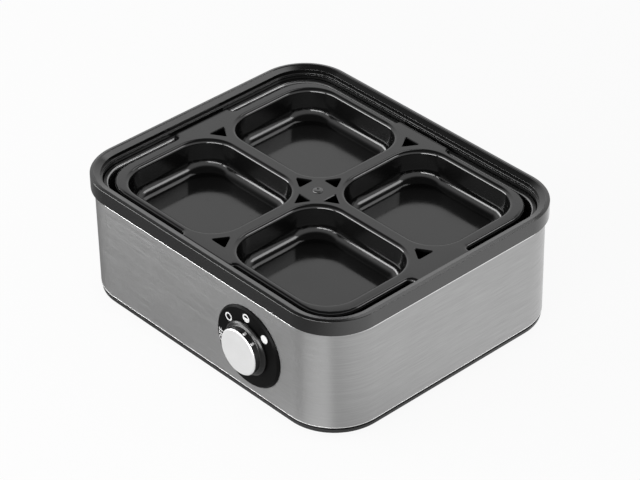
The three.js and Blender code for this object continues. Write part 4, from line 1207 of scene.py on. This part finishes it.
def dress_nodes():
    """Gives the nodes that keep their shape their finish; all others there are zinc plated."""
    finishes = {
        "bowl_seal": SILICONE,
        "rotary_control": PHENOLIC,
        "limiter": PHENOLIC,
        "thermal_fuse": CERAMIC,
        "heater_tube": HEATER_SHEATH,
        "control_tag_in": BRASS,
        "control_tag_out": BRASS,
        "earth_tag": BRASS,
        "lead_live": lead_skin("Brown lead", (0.16, 0.06, 0.02)),
        "lead_switched": RED_LEAD,
        "lead_heater": RED_LEAD,
        "lead_fuse": BLUE_LEAD,
        "lead_neutral": BLUE_LEAD,
        "lead_earth": lead_skin("Green lead", (0.05, 0.26, 0.05)),
    }
    for name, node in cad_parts.items():
        node.data.materials.clear()
        node.data.materials.append(finishes.get(name, ZINC))


# Stage, in metres
FLOOR_HALF = 4.0
FLOOR_WHITE = 0.8
LAMP_TARGET = Vector((0, 0, 0.04))

# Lamps: name, place, size and watts
LAMPS = [
    ("Key softbox", (0.88, 0.84, 0.98), (0.42, 0.38), 2.2),
    ("Front softbox", (0.42, -1.37, 0.3), (1.3, 0.4), 20),
    ("Back softbox", (-0.25, 0.75, 1.2), (0.6, 0.4), 1.2),
    ("Fill softbox", (-0.9, -1.0, 0.32), (1.35, 0.5), 18),
]

# Camera at the photograph's place, solved from the object's straight edges
CAMERA_LENS = 155.388
CAMERA_SENSOR = 36
CAMERA_PLACE = (0.8721, middle.y * MM - 0.7843, 0.8601)
CAMERA_RIGHT = Vector((0.67685, 0.73597, -0.01508))
CAMERA_UP = Vector((-0.41429, 0.39777, 0.81862))


def seen_share(tree, direct, reflected):
    """A share for rays from the camera, and another for rays in reflections and glass; else 0."""
    path = tree.nodes.new("ShaderNodeLightPath")
    camera = maths(tree, "MULTIPLY", path.outputs["Is Camera Ray"], direct)
    mirrored = maths(tree, "MAXIMUM", path.outputs["Is Glossy Ray"], path.outputs["Is Transmission Ray"])
    return maths(tree, "MAXIMUM", camera, maths(tree, "MULTIPLY", mirrored, reflected))


def make_floor():
    """Pale floor: white where it is seen; in reflections a painted shadow, dimmer along a slanting band in
    front and to the left, and painted light brighter than white beyond it.
    """
    bm = bmesh.new()
    bmesh.ops.create_grid(bm, x_segments=1, y_segments=1, size=FLOOR_HALF)
    mesh = bpy.data.meshes.new("floor")
    bm.to_mesh(mesh)
    bm.free()
    floor = new_object("floor", mesh)
    material, tree, shader = new_material("Pale floor")
    tree.nodes.remove(shader)
    matte = add(tree, "ShaderNodeBsdfDiffuse", Color=(*grey(FLOOR_WHITE), 1))
    place = axes(tree)
    # Painted shadow in reflections: the floor dims along the line x + y = -0.25 m and glows brighter than
    # white away from it
    across = maths(tree, "ADD", place["X"], place["Y"])
    away = maths(tree, "ABSOLUTE", maths(tree, "ADD", across, 0.25))
    reflected = eased(tree, away, 0.12, 0.42, 0.2, 1.25)
    path = tree.nodes.new("ShaderNodeLightPath")
    strength = mixed(tree, path.outputs["Is Camera Ray"], reflected, 1.0)
    glow = add(tree, "ShaderNodeEmission", Color=(1, 1, 1, 1), Strength=strength)
    mix = tree.nodes.new("ShaderNodeMixShader")
    tree.links.new(seen_share(tree, 0.92, 0.9), mix.inputs[0])
    tree.links.new(matte.outputs[0], mix.inputs[1])
    tree.links.new(glow.outputs[0], mix.inputs[2])
    tree.links.new(mix.outputs[0], tree.nodes["Material Output"].inputs["Surface"])
    mesh.materials.append(material)


def make_world():
    """White round the horizon and dim overhead where it is seen, and an even light elsewhere."""
    world = bpy.data.worlds.new("Studio")
    world.use_nodes = True
    tree = world.node_tree
    background = tree.nodes["Background"]
    background.inputs["Color"].default_value = (1, 1, 1, 1)
    dome = eased(tree, axes(tree, "Generated")["Z"], 0.58, 0.8, 1.0, 0.06)
    strength = mixed(tree, seen_share(tree, 1.0, 1.0), 0.4, dome)
    tree.links.new(strength, background.inputs["Strength"])
    bpy.context.scene.world = world


def make_lamp(name, place, size, watts):
    light = bpy.data.lights.new(name, "AREA")
    light.shape = "RECTANGLE"
    light.size, light.size_y = size
    light.energy = watts
    lamp = new_object(name, light)
    lamp.location = place
    direction = LAMP_TARGET - Vector(place)
    lamp.rotation_euler = direction.to_track_quat("-Z", "Y").to_euler()


def make_camera():
    camera = bpy.data.cameras.new("camera")
    camera.lens = CAMERA_LENS
    camera.sensor_width = CAMERA_SENSOR
    holder = new_object("camera", camera)
    back = CAMERA_RIGHT.cross(CAMERA_UP)
    turn = Matrix((CAMERA_RIGHT, CAMERA_UP, back)).transposed().to_4x4()
    holder.matrix_world = Matrix.Translation(CAMERA_PLACE) @ turn
    bpy.context.scene.camera = holder


make_camera()
make_floor()
make_world()
for lamp in LAMPS:
    make_lamp(*lamp)
dress_nodes()
make_rim()
make_sleeve()
make_base()
make_bowl()
make_tray()
make_rivet()
make_dial()
make_knob()
make_cap()
make_marks()
make_word()
make_index()
make_feet()
make_tie_screws()
make_inlet()
make_inlet_screws()
bpy.context.scene.view_settings.view_transform = "Standard"
